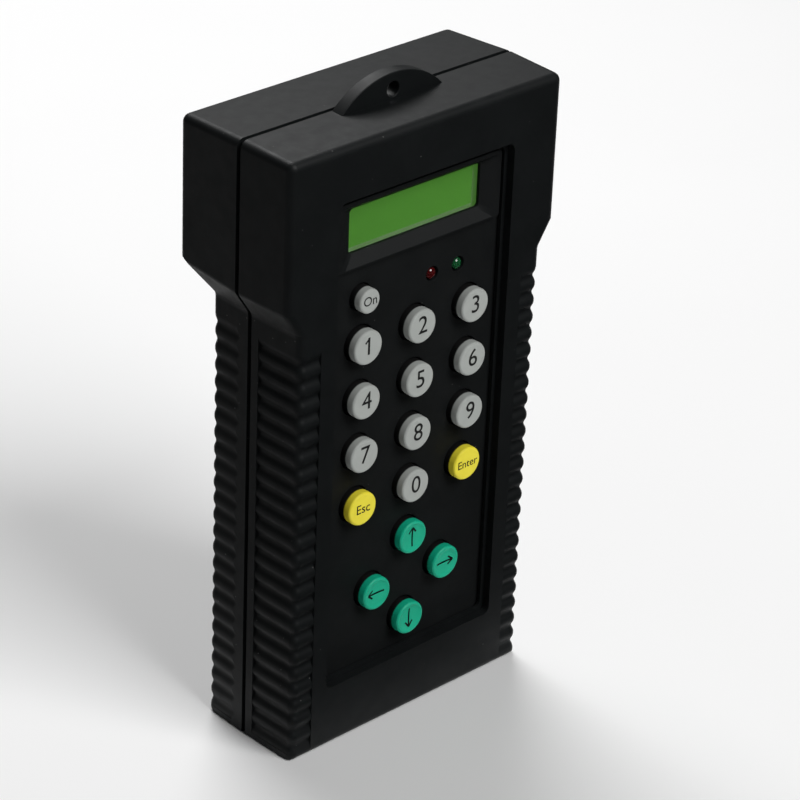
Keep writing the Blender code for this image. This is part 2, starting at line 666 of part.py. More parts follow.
# ---- Front panel and display ----------------------------------------------
def key_places():
    """Name, x, z, diameter, finish and dish of every key."""
    column = KEY_COLUMN_PITCH
    row = [FIRST_ROW_Z - i * KEY_ROW_PITCH for i in range(4)]
    keys = [("key_on", -column, FIRST_ROW_Z + POWER_KEY_OFFSET, SMALL_KEY_DIAMETER, KEY_GREY, 0.0)]
    for digit in range(1, 10):
        x = ((digit - 1) % 3 - 1) * column
        keys.append((f"key_{digit}", x, row[(digit - 1) // 3], KEY_DIAMETER, KEY_GREY, 0.0))
    keys.append(("key_escape", -column, row[3], KEY_DIAMETER, KEY_YELLOW, 0.0))
    keys.append(("key_0", 0.0, row[3], KEY_DIAMETER, KEY_GREY, 0.0))
    keys.append(("key_enter", column, row[3], KEY_DIAMETER, KEY_YELLOW, 0.0))
    up_z = row[3] - KEY_ROW_PITCH
    middle_z = up_z - ARROW_OFFSET
    keys.append(("key_up", 0.0, up_z, KEY_DIAMETER, KEY_GREEN, KEY_DISH))
    keys.append(("key_left", -ARROW_OFFSET, middle_z, KEY_DIAMETER, KEY_GREEN, KEY_DISH))
    keys.append(("key_right", ARROW_OFFSET, middle_z, KEY_DIAMETER, KEY_GREEN, KEY_DISH))
    keys.append(("key_down", 0.0, middle_z - ARROW_OFFSET, KEY_DIAMETER, KEY_GREEN, KEY_DISH))
    return keys


def build_panel():
    top = BEZEL_BOTTOM_Z - CLEARANCE
    outline = rectangle(PANEL_WIDTH, OPENING_BOTTOM_Z - FLANGE_LAP, top)
    panel = make_object("keypad_panel", prism(outline, PANEL_FRONT, PANEL_BACK), PANEL_BLACK)
    for _, x, z, diameter, _, _ in key_places():
        cut(panel, rod(diameter + 2 * KEY_HOLE_GAP, PANEL_FRONT - 1.0, PANEL_BACK + 1.0, (x, z)))
    for x in LAMP_X:
        cut(panel, rod(LAMP_DIAMETER + 2 * CLEARANCE, PANEL_FRONT - 1.0, PANEL_BACK + 1.0, (x, LAMP_Z), 16))


def build_bezel():
    block = prism(rectangle(BEZEL_WIDTH, BEZEL_BOTTOM_Z, BEZEL_TOP_Z, 0.8), BEZEL_FRONT_DEPTH, BEZEL_BACK)
    bezel = make_object("display_bezel", block, PANEL_BLACK)
    join(bezel, prism(rectangle(PANEL_WIDTH, BEZEL_BOTTOM_Z, OPENING_TOP_Z + FLANGE_LAP), PANEL_FRONT, BEZEL_BACK))
    low = WINDOW_CENTRE_Z - WINDOW_HEIGHT / 2
    high = WINDOW_CENTRE_Z + WINDOW_HEIGHT / 2
    inner = rectangle(WINDOW_WIDTH, low, high, WINDOW_RADIUS)
    mouth = rectangle(BEZEL_WIDTH - 2 * BEZEL_RIM, BEZEL_BOTTOM_Z + BEZEL_LOWER_RIM, BEZEL_TOP_Z - BEZEL_RIM,
                      WINDOW_RADIUS)
    throat = BEZEL_FRONT_DEPTH + FUNNEL_DEPTH
    lead = 0.5 / FUNNEL_DEPTH
    wider = [(m[0] + (m[0] - i[0]) * lead, m[1] + (m[1] - i[1]) * lead) for m, i in zip(mouth, inner)]
    funnel = loft([[(x, BEZEL_FRONT_DEPTH - 0.5, z) for x, z in wider], [(x, throat, z) for x, z in inner]])
    cut(bezel, funnel, prism(inner, throat - 0.2, BEZEL_BACK + 1.0))


def build_display():
    half_width = GLASS_WIDTH / 2
    low = WINDOW_CENTRE_Z - GLASS_HEIGHT / 2
    high = WINDOW_CENTRE_Z + GLASS_HEIGHT / 2
    glass_back = GLASS_FRONT + GLASS_THICKNESS
    make_object("display_window", box((-half_width, half_width), (LENS_FRONT, LENS_FRONT + LENS_THICKNESS),
                                      (low, high)), LENS)
    make_object("display_glass", box((-half_width, half_width), (GLASS_FRONT, glass_back), (low, high)), DISPLAY)
    guide_front = glass_back + CLEARANCE
    make_object("display_light_guide", box((-half_width, half_width),
                                           (guide_front, guide_front + LIGHT_GUIDE_THICKNESS), (low, high)), GUIDE)
    gap = CLEARANCE
    wall = DISPLAY_FRAME_WALL
    frame = make_object("display_frame", box((-half_width - gap - wall, half_width + gap + wall),
                                             (LENS_FRONT, BOARD_FRONT - gap), (low - gap - wall, high + gap + wall)),
                        STEEL)
    cut(frame, box((-half_width - gap, half_width + gap), (LENS_FRONT - 1.0, BOARD_FRONT), (low - gap, high + gap)))


# ---- Keys, key mat and board ----------------------------------------------
def key_profile(diameter, dish):
    """Profile of a key from the middle of its top to the end of its plunger.

    Depth 0 is the top rim.  The flange lies behind the panel.
    """
    radius = diameter / 2
    flat = radius - KEY_EDGE_RADIUS
    top = PANEL_FRONT - KEY_RISE
    points = [(0.0, dish)]
    if dish:
        points.append((flat * 0.6, dish * 0.64))
    steps = 2
    for k in range(steps + 1):
        angle = math.pi / 2 * k / steps
        points.append((flat + KEY_EDGE_RADIUS * math.sin(angle), KEY_EDGE_RADIUS * (1 - math.cos(angle))))
    flange = radius + KEY_HOLE_GAP + KEY_FLANGE_LAP
    points += [(radius, KEY_FLANGE_FRONT - top), (flange, KEY_FLANGE_FRONT - top),
               (flange, KEY_FLANGE_BACK - top), (PLUNGER_DIAMETER / 2, KEY_FLANGE_BACK - top),
               (PLUNGER_DIAMETER / 2, PLUNGER_END - top), (0.0, PLUNGER_END - top)]
    return points


def build_keys():
    for name, x, z, diameter, finish, dish in key_places():
        make_object(name, turned(key_profile(diameter, dish)), finish,
                    (x, PANEL_FRONT - KEY_RISE, z), smooth=True)


def build_key_mat():
    outline = rectangle(PANEL_WIDTH, OPENING_BOTTOM_Z, FIRST_ROW_Z + POWER_KEY_OFFSET + KEY_DIAMETER / 2)
    mat = make_object("key_mat", prism(outline, MAT_FRONT, MAT_BACK), RUBBER)
    for _, x, z, _, _, _ in key_places():
        cut(mat, rod(PLUNGER_DIAMETER + MAT_HOLE_GAP * 2, MAT_FRONT - 1.0, MAT_BACK + 1.0, (x, z), 10))
    for x in LAMP_X:
        cut(mat, rod(LAMP_DIAMETER + LAMP_FOOT + 2 * CLEARANCE, MAT_FRONT - 1.0, MAT_BACK + 1.0, (x, LAMP_Z), 12))


def build_board():
    half = GRIP_WIDTH / 2 - WALL - BOARD_SIDE_GAP
    make_object("main_board", box((-half, half), (BOARD_FRONT, BOARD_BACK), (BOARD_BOTTOM_Z, BOARD_TOP_Z)), BOARD)
    back = BOARD_BACK + CLEARANCE
    for name, x, z, width, height, thickness in CHIP_PLACES:
        make_object(name, box((x - width / 2, x + width / 2), (back, back + thickness),
                              (z - height / 2, z + height / 2)), CHIP)
    can = along_x(CAPACITOR_DIAMETER, *CAPACITOR_ENDS_X, back + CAPACITOR_DIAMETER / 2, CAPACITOR_Z, 16)
    make_object("capacitor", can, CAPACITOR, smooth=True)


def lamp_profile():
    radius = LAMP_DIAMETER / 2
    tip = PANEL_FRONT - LAMP_RISE
    points = [(0.0, tip)]
    steps = 4
    for k in range(1, steps + 1):
        angle = math.pi / 2 * k / steps
        points.append((radius * math.sin(angle), tip + radius * (1 - math.cos(angle))))
    foot = radius + LAMP_FOOT / 2
    end = BOARD_FRONT - CLEARANCE
    return points + [(radius, end - 1.0), (foot, end - 1.0), (foot, end), (0.0, end)]


def build_lamps():
    for name, x, finish in (("red_lamp", LAMP_X[0], RED_LAMP), ("green_lamp", LAMP_X[1], GREEN_LAMP)):
        make_object(name, turned(lamp_profile(), 16), finish, (x, 0.0, LAMP_Z), smooth=True)


# ---- Battery bay ----------------------------------------------------------
def stand_up(shape, upward):
    """Turn a shape made about the depth axis so that its front end points up or down."""
    for vert in shape.verts:
        x, depth, z = vert.co
        vert.co = (x, z, -depth * upward)
    return shape


def cell_columns():
    pitch = CELL_DIAMETER + CELL_GAP
    first = -(CELL_COUNT - 1) / 2 * pitch
    return [(i + 1, first + i * pitch, 1 if i % 2 == 0 else -1) for i in range(CELL_COUNT)]


def cell_profile():
    nub = CELL_NUB_DIAMETER / 2
    radius = CELL_DIAMETER / 2
    half = CELL_LENGTH / 2
    shoulder = -half + CELL_NUB_LENGTH
    return [(0.0, -half), (nub, -half), (nub, shoulder), (radius - 0.5, shoulder), (radius, shoulder + 0.5),
            (radius, half - 0.4), (radius - 0.4, half), (0.0, half)]


def spring(length):
    """A coil of round wire about the height axis, centred on its own middle."""
    shape = bmesh.new()
    per_turn = 9
    sides = 5
    total = SPRING_TURNS * per_turn
    mean = (SPRING_DIAMETER - SPRING_WIRE) / 2
    wire = SPRING_WIRE / 2
    climb = length - SPRING_WIRE
    rings = []
    for i in range(total + 1):
        angle = 2 * math.pi * i / per_turn
        z = climb * (i / total - 0.5)
        ring = []
        for k in range(sides):
            tilt = 2 * math.pi * k / sides
            radius = mean + wire * math.cos(tilt)
            ring.append(shape.verts.new((radius * math.cos(angle), radius * math.sin(angle),
                                         z + wire * math.sin(tilt))))
        rings.append(ring)
    for low, high in zip(rings, rings[1:]):
        for k in range(sides):
            m = (k + 1) % sides
            shape.faces.new((low[k], low[m], high[m], high[k]))
    shape.faces.new(rings[0])
    shape.faces.new(list(reversed(rings[-1])))
    return shape


def build_batteries():
    middle = (BAY_BOTTOM_Z + BAY_TOP_Z) / 2
    half_bay = BAY_HEIGHT / 2
    plate = half_bay - CLEARANCE - CONTACT_THICKNESS / 2
    cell_shift = half_bay - CONTACT_THICKNESS - 2 * CLEARANCE - CELL_LENGTH / 2
    coil = half_bay - CLEARANCE - SPRING_LENGTH / 2
    half_plate = CONTACT_SIZE / 2
    for number, x, upward in cell_columns():
        make_object(f"battery_cell_{number}", stand_up(turned(cell_profile()), upward), CELL_WRAP,
                    (x, CELL_DEPTH, middle + upward * cell_shift), smooth=True)
        make_object(f"battery_spring_{number}", spring(SPRING_LENGTH), STEEL,
                    (x, CELL_DEPTH, middle - upward * coil), smooth=True)
        make_object(f"battery_contact_{number}",
                    box((-half_plate, half_plate), (-half_plate, half_plate),
                        (-CONTACT_THICKNESS / 2, CONTACT_THICKNESS / 2)), STEEL,
                    (x, CELL_DEPTH, middle + upward * plate))


def build_door():
    """Battery door, with its origin on the axis of its two hinge pins."""
    radius = DOOR_THICKNESS / 2
    height = DOOR_TOP_Z - DOOR_AXIS_Z
    profile = [(-radius, height), (radius, height)]
    steps = 8
    for k in range(steps + 1):
        angle = math.pi * k / steps
        profile.append((radius * math.cos(angle), -radius * math.sin(angle)))
    half = DOOR_WIDTH / 2
    slab = loft([[(x, depth, z) for depth, z in profile] for x in (-half, half)])
    door = make_object("battery_door", slab, BLACK, (0.0, DOOR_AXIS_DEPTH, DOOR_AXIS_Z))
    pin_end = half + DOOR_PIN_LENGTH
    for low, high in ((-pin_end, -half + 1.0), (half - 1.0, pin_end)):
        combine_local(door, along_x(DOOR_PIN_DIAMETER, low, high, 0.0, 0.0), "UNION")
    for row in range(DOOR_GROOVE_COUNT):
        z = height - DOOR_GROOVE_FIRST - DOOR_GROOVE_PITCH * row
        groove = slot(DOOR_NOTCH_WIDTH, DOOR_GROOVE_HEIGHT, radius - DOOR_GROOVE_DEPTH, radius + 1.0, (0.0, z))
        combine_local(door, groove, "DIFFERENCE")


def combine_local(target, shape, operation):
    """Combine a shape that is given in the target's own frame."""
    place = target.location.copy()
    target.location = (0.0, -CASE_DEPTH / 2 * MM, 0.0)
    combine(target, shape, operation)
    target.location = place


# ---- Loudspeaker ------------------------------------------------------------
def build_speaker():
    place = (0.0, SPEAKER_BACK, speaker_height())
    rim = SPEAKER_DIAMETER / 2
    inner = rim - SPEAKER_RIM_WIDTH
    throat = MAGNET_DIAMETER / 2 - 1.2
    basket = turned_ring([(rim, 0.0), (rim, -SPEAKER_RIM_THICKNESS), (inner - 1.0, -SPEAKER_RIM_THICKNESS),
                          (throat + 1.4, -SPEAKER_BASKET_DEPTH), (throat, -SPEAKER_BASKET_DEPTH),
                          (throat, -SPEAKER_BASKET_DEPTH + 0.6), (inner - 1.6, -0.8), (inner, -0.8), (inner, 0.0)],
                         20)
    make_object("speaker_basket", basket, STEEL, place, smooth=True)
    cone_rim = inner - CLEARANCE
    cone = turned([(0.0, -0.6), (throat * 0.5, -1.0), (throat * 0.75, -2.2), (cone_rim - 1.4, -0.2),
                   (cone_rim, -0.1), (cone_rim, -0.4), (cone_rim - 1.3, -0.5), (throat * 0.75, -2.7),
                   (throat * 0.5, -1.5), (0.0, -1.1)], 20)
    make_object("speaker_cone", cone, PAPER, place, smooth=True)
    magnet_front = -SPEAKER_BASKET_DEPTH - CLEARANCE
    magnet = turned([(0.0, magnet_front), (MAGNET_DIAMETER / 2, magnet_front),
                     (MAGNET_DIAMETER / 2, magnet_front - MAGNET_DEPTH), (0.0, magnet_front - MAGNET_DEPTH)], 20)
    make_object("speaker_magnet", magnet, CHIP, place, smooth=True)
    low = CLEARANCE
    high = CLEARANCE + GASKET_THICKNESS
    gasket_inner = rim - GASKET_WIDTH
    gasket = turned_ring([(rim, low), (rim, high), (gasket_inner, high), (gasket_inner, low)], 20)
    make_object("speaker_gasket", gasket, FOAM, place, smooth=True)


# ---- Screws -------------------------------------------------------------
def build_screws():
    head = SCREW_HEAD_DIAMETER / 2
    shank = SCREW_SHANK_DIAMETER / 2
    top = SCREW_HEAD_HEIGHT
    for number, (x, z) in enumerate(screw_places(), 1):
        shape = turned([(0.0, top), (head - 0.8, top), (head, top - 0.8), (head, CLEARANCE), (shank, CLEARANCE),
                        (shank, 1.0 - SCREW_LENGTH), (0.0, -SCREW_LENGTH)], 16)
        screw = make_object(f"case_screw_{number}", shape, STEEL, (x, SCREW_SEAT_DEPTH, z), smooth=True)
        short = SCREW_SLOT_WIDTH / 2
        long = SCREW_SLOT_LENGTH / 2
        for half_x, half_z in ((short, long), (long, short)):
            blade = box((-half_x, half_x), (top - SCREW_SLOT_DEPTH, top + 1.0), (-half_z, half_z))
            combine_local(screw, blade, "DIFFERENCE")


def main():
    clear_scene()
    build_front_shell()
    build_rear_shell()
    build_panel()
    build_bezel()
    build_display()
    build_keys()
    build_key_mat()
    build_board()
    build_lamps()
    build_batteries()
    build_door()
    build_speaker()
    build_screws()


main()
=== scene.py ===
"""Looks of the hand-held electronic game caller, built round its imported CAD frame.

Sizes are millimetres until a piece is placed.  A place is (x, depth, z): x runs across the
caller, depth counts backwards from its front face and z runs up from its bottom end.
"""

import logging
import math
from dataclasses import dataclass
from enum import Enum
from typing import Callable

import bmesh
import bpy
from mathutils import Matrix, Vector

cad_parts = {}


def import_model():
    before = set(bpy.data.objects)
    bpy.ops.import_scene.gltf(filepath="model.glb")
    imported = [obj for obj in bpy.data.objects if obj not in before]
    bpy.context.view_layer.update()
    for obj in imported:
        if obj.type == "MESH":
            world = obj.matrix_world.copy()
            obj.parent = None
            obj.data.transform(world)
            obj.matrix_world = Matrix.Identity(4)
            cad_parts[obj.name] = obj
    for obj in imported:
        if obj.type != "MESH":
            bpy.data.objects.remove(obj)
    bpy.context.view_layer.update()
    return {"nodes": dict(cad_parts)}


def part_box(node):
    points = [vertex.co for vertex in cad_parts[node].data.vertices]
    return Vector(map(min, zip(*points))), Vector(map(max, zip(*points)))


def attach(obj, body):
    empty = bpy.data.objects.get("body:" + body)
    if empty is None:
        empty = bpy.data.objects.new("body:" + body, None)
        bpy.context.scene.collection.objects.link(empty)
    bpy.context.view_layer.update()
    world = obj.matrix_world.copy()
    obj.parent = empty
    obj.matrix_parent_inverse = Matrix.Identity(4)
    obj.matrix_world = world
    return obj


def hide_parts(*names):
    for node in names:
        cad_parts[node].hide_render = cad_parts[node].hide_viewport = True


LOG = logging.getLogger("game_caller")
MM = 0.001
SHADE_ANGLE = math.radians(32)
NEAR = 0.1     # closer than this counts as lying on a plane
TOUCH = 0.01   # the same, where small features are close together
PROUD = 1.0    # how far a cutter stands out of what it cuts
ALMOST_HALF = 0.49    # widest rounding that leaves a slot's end one piece
DUST_PITCH = 2.6
DUST_SPECK = (0.03, 0.07)     # a speck's solid middle and its edge, in cell widths
DUST_CHANCE = (0.55, 1.0)     # cells below the first value stay clean
DUST_COLOUR = (0.30, 0.30, 0.29)

Span = tuple[float, float]
Place = tuple[float, float, float]
Colour = tuple[float, float, float]


class Domain(Enum):
    """What edit mode selects."""

    VERTEX = "VERT"
    EDGE = "EDGE"
    FACE = "FACE"


class Cut(Enum):
    """How one solid acts on another."""

    ADD = "UNION"
    REMOVE = "DIFFERENCE"


class Side(Enum):
    """Left or right of someone reading the keypad."""

    LEFT = -1
    RIGHT = 1


class Axis(Enum):
    """Which way a bar runs, as the turn that lays it so."""

    ACROSS = (0.0, math.pi / 2, 0.0)
    BACK = (math.pi / 2, 0.0, 0.0)
    UP = (0.0, 0.0, 0.0)


def runs_back(one: Place, two: Place) -> bool:
    """Tell whether an edge runs from front to back."""
    return abs(one[1] - two[1]) > 1.0


# ---- Workbench ---------------------------------------------------------------
class Workbench:
    """Blender's modelling operators, with places given in the caller's own frame."""

    def __init__(self, front_y: float) -> None:
        """Keep where the front face lies.

        Args:
            front_y: World Y of the front face, in metres.
        """
        self.front_y = front_y

    def world(self, x: float, depth: float, z: float) -> Vector:
        """Return a place in world metres."""
        return Vector((x * MM, self.front_y + depth * MM, z * MM))

    def local(self, point: Vector) -> Place:
        """Return world metres as (x, depth, z) in millimetres."""
        return point.x / MM, (point.y - self.front_y) / MM, point.z / MM

    def box(self, node: str) -> tuple[Place, Place]:
        """Return the low and the high corner of a CAD node."""
        low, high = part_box(node)
        return self.local(low), self.local(high)

    @staticmethod
    def take(*pieces: bpy.types.Object) -> None:
        """Leave edit mode and select only these pieces, the first one active.

        Args:
            pieces: The pieces to select.
        """
        active = bpy.context.view_layer.objects.active
        if active is not None and active.mode != "OBJECT":
            bpy.ops.object.mode_set(mode="OBJECT")
        bpy.ops.object.select_all(action="DESELECT")
        for piece in pieces:
            piece.select_set(True)
        if pieces:
            bpy.context.view_layer.objects.active = pieces[0]

    def edit(self, piece: bpy.types.Object) -> None:
        """Enter edit mode with the whole piece selected."""
        self.take(piece)
        bpy.ops.object.mode_set(mode="EDIT")
        bpy.ops.mesh.select_all(action="SELECT")

    def turn(self, piece: bpy.types.Object, degrees: float, about: Place) -> None:
        """Turn a piece in the plane of the panel.

        Args:
            piece: The piece to work on.
            degrees: Angle, by the right-hand rule about the depth axis.
            about: Place that stays still.
        """
        self.edit(piece)
        bpy.ops.transform.rotate(value=math.radians(degrees), orient_axis="Y",
                                 center_override=self.world(*about))
        self.take(piece)

    @staticmethod
    def extrude(step: Place) -> None:
        """Extrude what is selected."""
        bpy.ops.mesh.extrude_region_move(TRANSFORM_OT_translate={"value": [part * MM for part in step]})

    def widen(self, share: float, about: Place) -> None:
        """Extrude a selected end face in place and scale its rim about a place."""
        self.extrude((0.0, 0.0, 0.0))
        bpy.ops.transform.resize(value=(share, 1.0, share), center_override=self.world(*about))

    def settle(self, name: str) -> bpy.types.Object:
        """Name the new primitive and put its place into its mesh.

        Args:
            name: Name of the new object.

        Returns:
            The piece.
        """
        piece = bpy.context.active_object
        piece.name = name
        bpy.ops.object.transform_apply(location=True, rotation=True, scale=True)
        return piece

    def block(self, name: str, x: Span, depth: Span, z: Span) -> bpy.types.Object:
        """Add a cube between pairs of x, depth and z values.

        Args:
            name: Name of the new object.
            x: Its two sides, or its middle.
            depth: Its front and back.
            z: Its bottom and top, or its middle.

        Returns:
            The new piece.
        """
        self.take()
        middle = self.world(sum(x) / 2, sum(depth) / 2, sum(z) / 2)
        size = [(pair[1] - pair[0]) * MM for pair in (x, depth, z)]
        bpy.ops.mesh.primitive_cube_add(size=1.0, location=middle, scale=size)
        return self.settle(name)

    def bar(self, name: str, radius: float, length: float, at: Place, axis: Axis,
            sides: int) -> bpy.types.Object:
        """Add a cylinder round its middle point.

        Args:
            name: Name of the new object.
            radius: Radius of the rounding or of the bar.
            length: Its length.
            at: Its middle.
            axis: Which way it runs.
            sides: Facets round it.

        Returns:
            The new piece.
        """
        self.take()
        bpy.ops.mesh.primitive_cylinder_add(vertices=sides, radius=radius * MM, depth=length * MM,
                                            location=self.world(*at), rotation=axis.value)
        return self.settle(name)

    def rod(self, name: str, radius: float, depth: Span, x: float, z: float,
            sides: int = 48) -> bpy.types.Object:
        """Add a cylinder that runs from front to back."""
        middle = (x, sum(depth) / 2, z)
        return self.bar(name, radius, depth[1] - depth[0], middle, Axis.BACK, sides)

    def select(self, piece: bpy.types.Object, domain: Domain, test: Callable[..., bool]) -> None:
        """Enter edit mode and select what passes a test.

        Args:
            piece: The mesh to work on.
            domain: What is selected.
            test: Gets a vertex place, an edge's two places, or a face's centre and normal.
        """
        self.take(piece)
        bpy.ops.object.mode_set(mode="EDIT")
        bpy.ops.mesh.select_mode(type=domain.value)
        bpy.ops.mesh.select_all(action="DESELECT")
        shape = bmesh.from_edit_mesh(piece.data)
        if domain is Domain.VERTEX:
            chosen = [v for v in shape.verts if test(self.local(v.co))]
        elif domain is Domain.EDGE:
            chosen = [e for e in shape.edges if test(*(self.local(v.co) for v in e.verts))]
        else:
            chosen = [f for f in shape.faces if test(self.local(f.calc_center_median()), f.normal)]
        for item in chosen:
            item.select_set(True)
        shape.select_flush_mode()
        bmesh.update_edit_mesh(piece.data)

    def move(self, piece: bpy.types.Object, test: Callable[[Place], bool], by: Place) -> None:
        """Move the vertices that pass a test."""
        self.select(piece, Domain.VERTEX, test)
        bpy.ops.transform.translate(value=[step * MM for step in by])
        self.take(piece)

    def narrow(self, piece: bpy.types.Object, test: Callable[[Place], bool], share: float) -> None:
        """Scale the vertices that pass a test towards the middle of the caller."""
        self.select(piece, Domain.VERTEX, test)
        bpy.ops.transform.resize(value=(share, 1.0, 1.0), center_override=self.world(0.0, 0.0, 0.0))
        self.take(piece)

    def split(self, piece: bpy.types.Object, level: float, keep_above: bool = False) -> None:
        """Cut a piece at a level: a ring of edges, or only what lies above, closed again.

        Args:
            piece: The piece to work on.
            level: Height of the cut.
            keep_above: Whether what lies below is removed.
        """
        self.edit(piece)
        bpy.ops.mesh.bisect(plane_co=self.world(0.0, 0.0, level), plane_no=(0.0, 0.0, 1.0),
                            use_fill=keep_above, clear_inner=keep_above)
        self.take(piece)

    def round_edges(self, piece: bpy.types.Object, test: Callable[..., bool], radius: float, steps: int = 6) -> None:
        """Round the edges that pass a test."""
        self.select(piece, Domain.EDGE, test)
        bpy.ops.mesh.bevel(offset=radius * MM, segments=steps, affect="EDGES")
        self.take(piece)

    def weighted_bevel(self, piece: bpy.types.Object, radius: float, steps: int,
                       share: Callable[[Place, Place], float]) -> None:
        """Round every edge by its own share of a radius, in one pass.

        Args:
            piece: The mesh to round.
            radius: Radius of an edge whose share is 1.
            steps: Facets round each edge.
            share: Gets an edge's two places and returns its share.
        """
        mesh = piece.data
        weights = mesh.attributes.new("bevel_weight_edge", "FLOAT", "EDGE")
        for edge in mesh.edges:
            ends = (self.local(mesh.vertices[index].co) for index in edge.vertices)
            weights.data[edge.index].value = share(*ends)
        self.take(piece)
        step = piece.modifiers.new("round", "BEVEL")
        step.width = radius * MM
        step.segments = steps
        step.limit_method = "WEIGHT"
        step.use_clamp_overlap = False
        bpy.ops.object.modifier_apply(modifier=step.name)

    def soften(self, piece: bpy.types.Object, radius: float = 0.12, steps: int = 2, angle: float = 60.0) -> None:
        """Take the sharpness off every crisp edge of a piece.

        Args:
            piece: The piece to work on.
            radius: Radius of the rounding or of the bar.
            steps: Facets across the rounding.
            angle: Edges sharper than this are treated.
        """
        self.take(piece)
        step = piece.modifiers.new("soften", "BEVEL")
        step.width = radius * MM
        step.segments = steps
        step.limit_method = "ANGLE"
        step.angle_limit = math.radians(angle)
        bpy.ops.object.modifier_apply(modifier=step.name)

    def combine(self, piece: bpy.types.Object, cut: Cut, *tools: bpy.types.Object) -> None:
        """Add tools to a piece, or cut them out of it, and use the tools up.

        Args:
            piece: The piece to work on.
            cut: Whether the tools are added or removed.
            tools: The solids, which are used up.
        """
        for tool in tools:
            self.take(piece)
            step = piece.modifiers.new("combine", "BOOLEAN")
            step.operation = cut.value
            step.object = tool
            bpy.ops.object.modifier_apply(modifier=step.name)
            bpy.data.objects.remove(tool, do_unlink=True)

    def merge(self, *pieces: bpy.types.Object) -> bpy.types.Object:
        """Join pieces into the first one."""
        self.take(*pieces)
        bpy.ops.object.join()
        return pieces[0]

    def clone(self, piece: bpy.types.Object, name: str, by: Place) -> bpy.types.Object:
        """Copy a piece with a mesh of its own and move the copy.

        Args:
            piece: The piece to copy.
            name: Name of the new object.
            by: Step in x, depth and z.

        Returns:
            The copy.
        """
        twin = piece.copy()
        twin.data = piece.data.copy()
        twin.name = name
        bpy.context.scene.collection.objects.link(twin)
        twin.location = [step * MM for step in by]
        self.take(twin)
        bpy.ops.object.transform_apply(location=True, rotation=True, scale=True)
        return twin

    def mirrored(self, piece: bpy.types.Object, name: str) -> bpy.types.Object:
        """Copy a piece to the other side of the caller, with its faces still outwards.

        Args:
            piece: The piece to copy.
            name: Name of the new object.

        Returns:
            The copy.
        """
        twin = self.clone(piece, name, (0.0, 0.0, 0.0))
        self.edit(twin)
        bpy.ops.transform.resize(value=(-1.0, 1.0, 1.0), center_override=(0.0, 0.0, 0.0))
        bpy.ops.mesh.normals_make_consistent(inside=False)
        self.take(twin)
        return twin

    def smooth(self, piece: bpy.types.Object, angle: float = SHADE_ANGLE, weighted: bool = True) -> None:
        """Shade a piece smooth up to an angle, and keep its flat faces flat.

        Args:
            piece: The piece to shade.
            angle: Edges sharper than this stay sharp.
            weighted: Whether large faces keep their own normals.
        """
        self.take(piece)
        bpy.ops.object.shade_smooth_by_angle(angle=angle, keep_sharp_edges=False)
        if weighted:
            step = piece.modifiers.new("even", "WEIGHTED_NORMAL")
            step.keep_sharp = True
            step.weight = 80
            bpy.ops.object.modifier_apply(modifier=step.name)


# ---- Finishes ------------------------------------------------------------------
def calculate(tree: bpy.types.NodeTree, operation: str, *values: object) -> bpy.types.NodeSocket:
    """Add a sum whose inputs are numbers or other nodes' outputs.

    Args:
        tree: The material's nodes.
        operation: Blender's name for the sum.
        values: Its inputs.

    Returns:
        The result.
    """
    node = tree.nodes.new("ShaderNodeMath")
    node.operation = operation
    for socket, value in zip(node.inputs, values):
        if isinstance(value, bpy.types.NodeSocket):
            tree.links.new(value, socket)
        else:
            socket.default_value = value
    return node.outputs["Value"]


def object_place(tree: bpy.types.NodeTree) -> bpy.types.NodeSocket:
    """Return the object coordinates."""
    return tree.nodes.new("ShaderNodeTexCoord").outputs["Object"]


def coordinate(tree: bpy.types.NodeTree, axis: str) -> bpy.types.NodeSocket:
    """Return one of the object coordinates, in metres."""
    parts = tree.nodes.new("ShaderNodeSeparateXYZ")
    tree.links.new(object_place(tree), parts.inputs["Vector"])
    return parts.outputs[axis]


def cells(tree: bpy.types.NodeTree, size: float, distance: str = "EUCLIDEAN") -> bpy.types.Node:
    """Add a pattern of cells of one size on object coordinates.

    Args:
        tree: The material's nodes.
        size: Length of a side.
        distance: How distance is measured.

    Returns:
        The pattern.
    """
    pattern = tree.nodes.new("ShaderNodeTexVoronoi")
    pattern.distance = distance
    pattern.inputs["Scale"].default_value = 1.0 / (size * MM)
    tree.links.new(object_place(tree), pattern.inputs["Vector"])
    return pattern


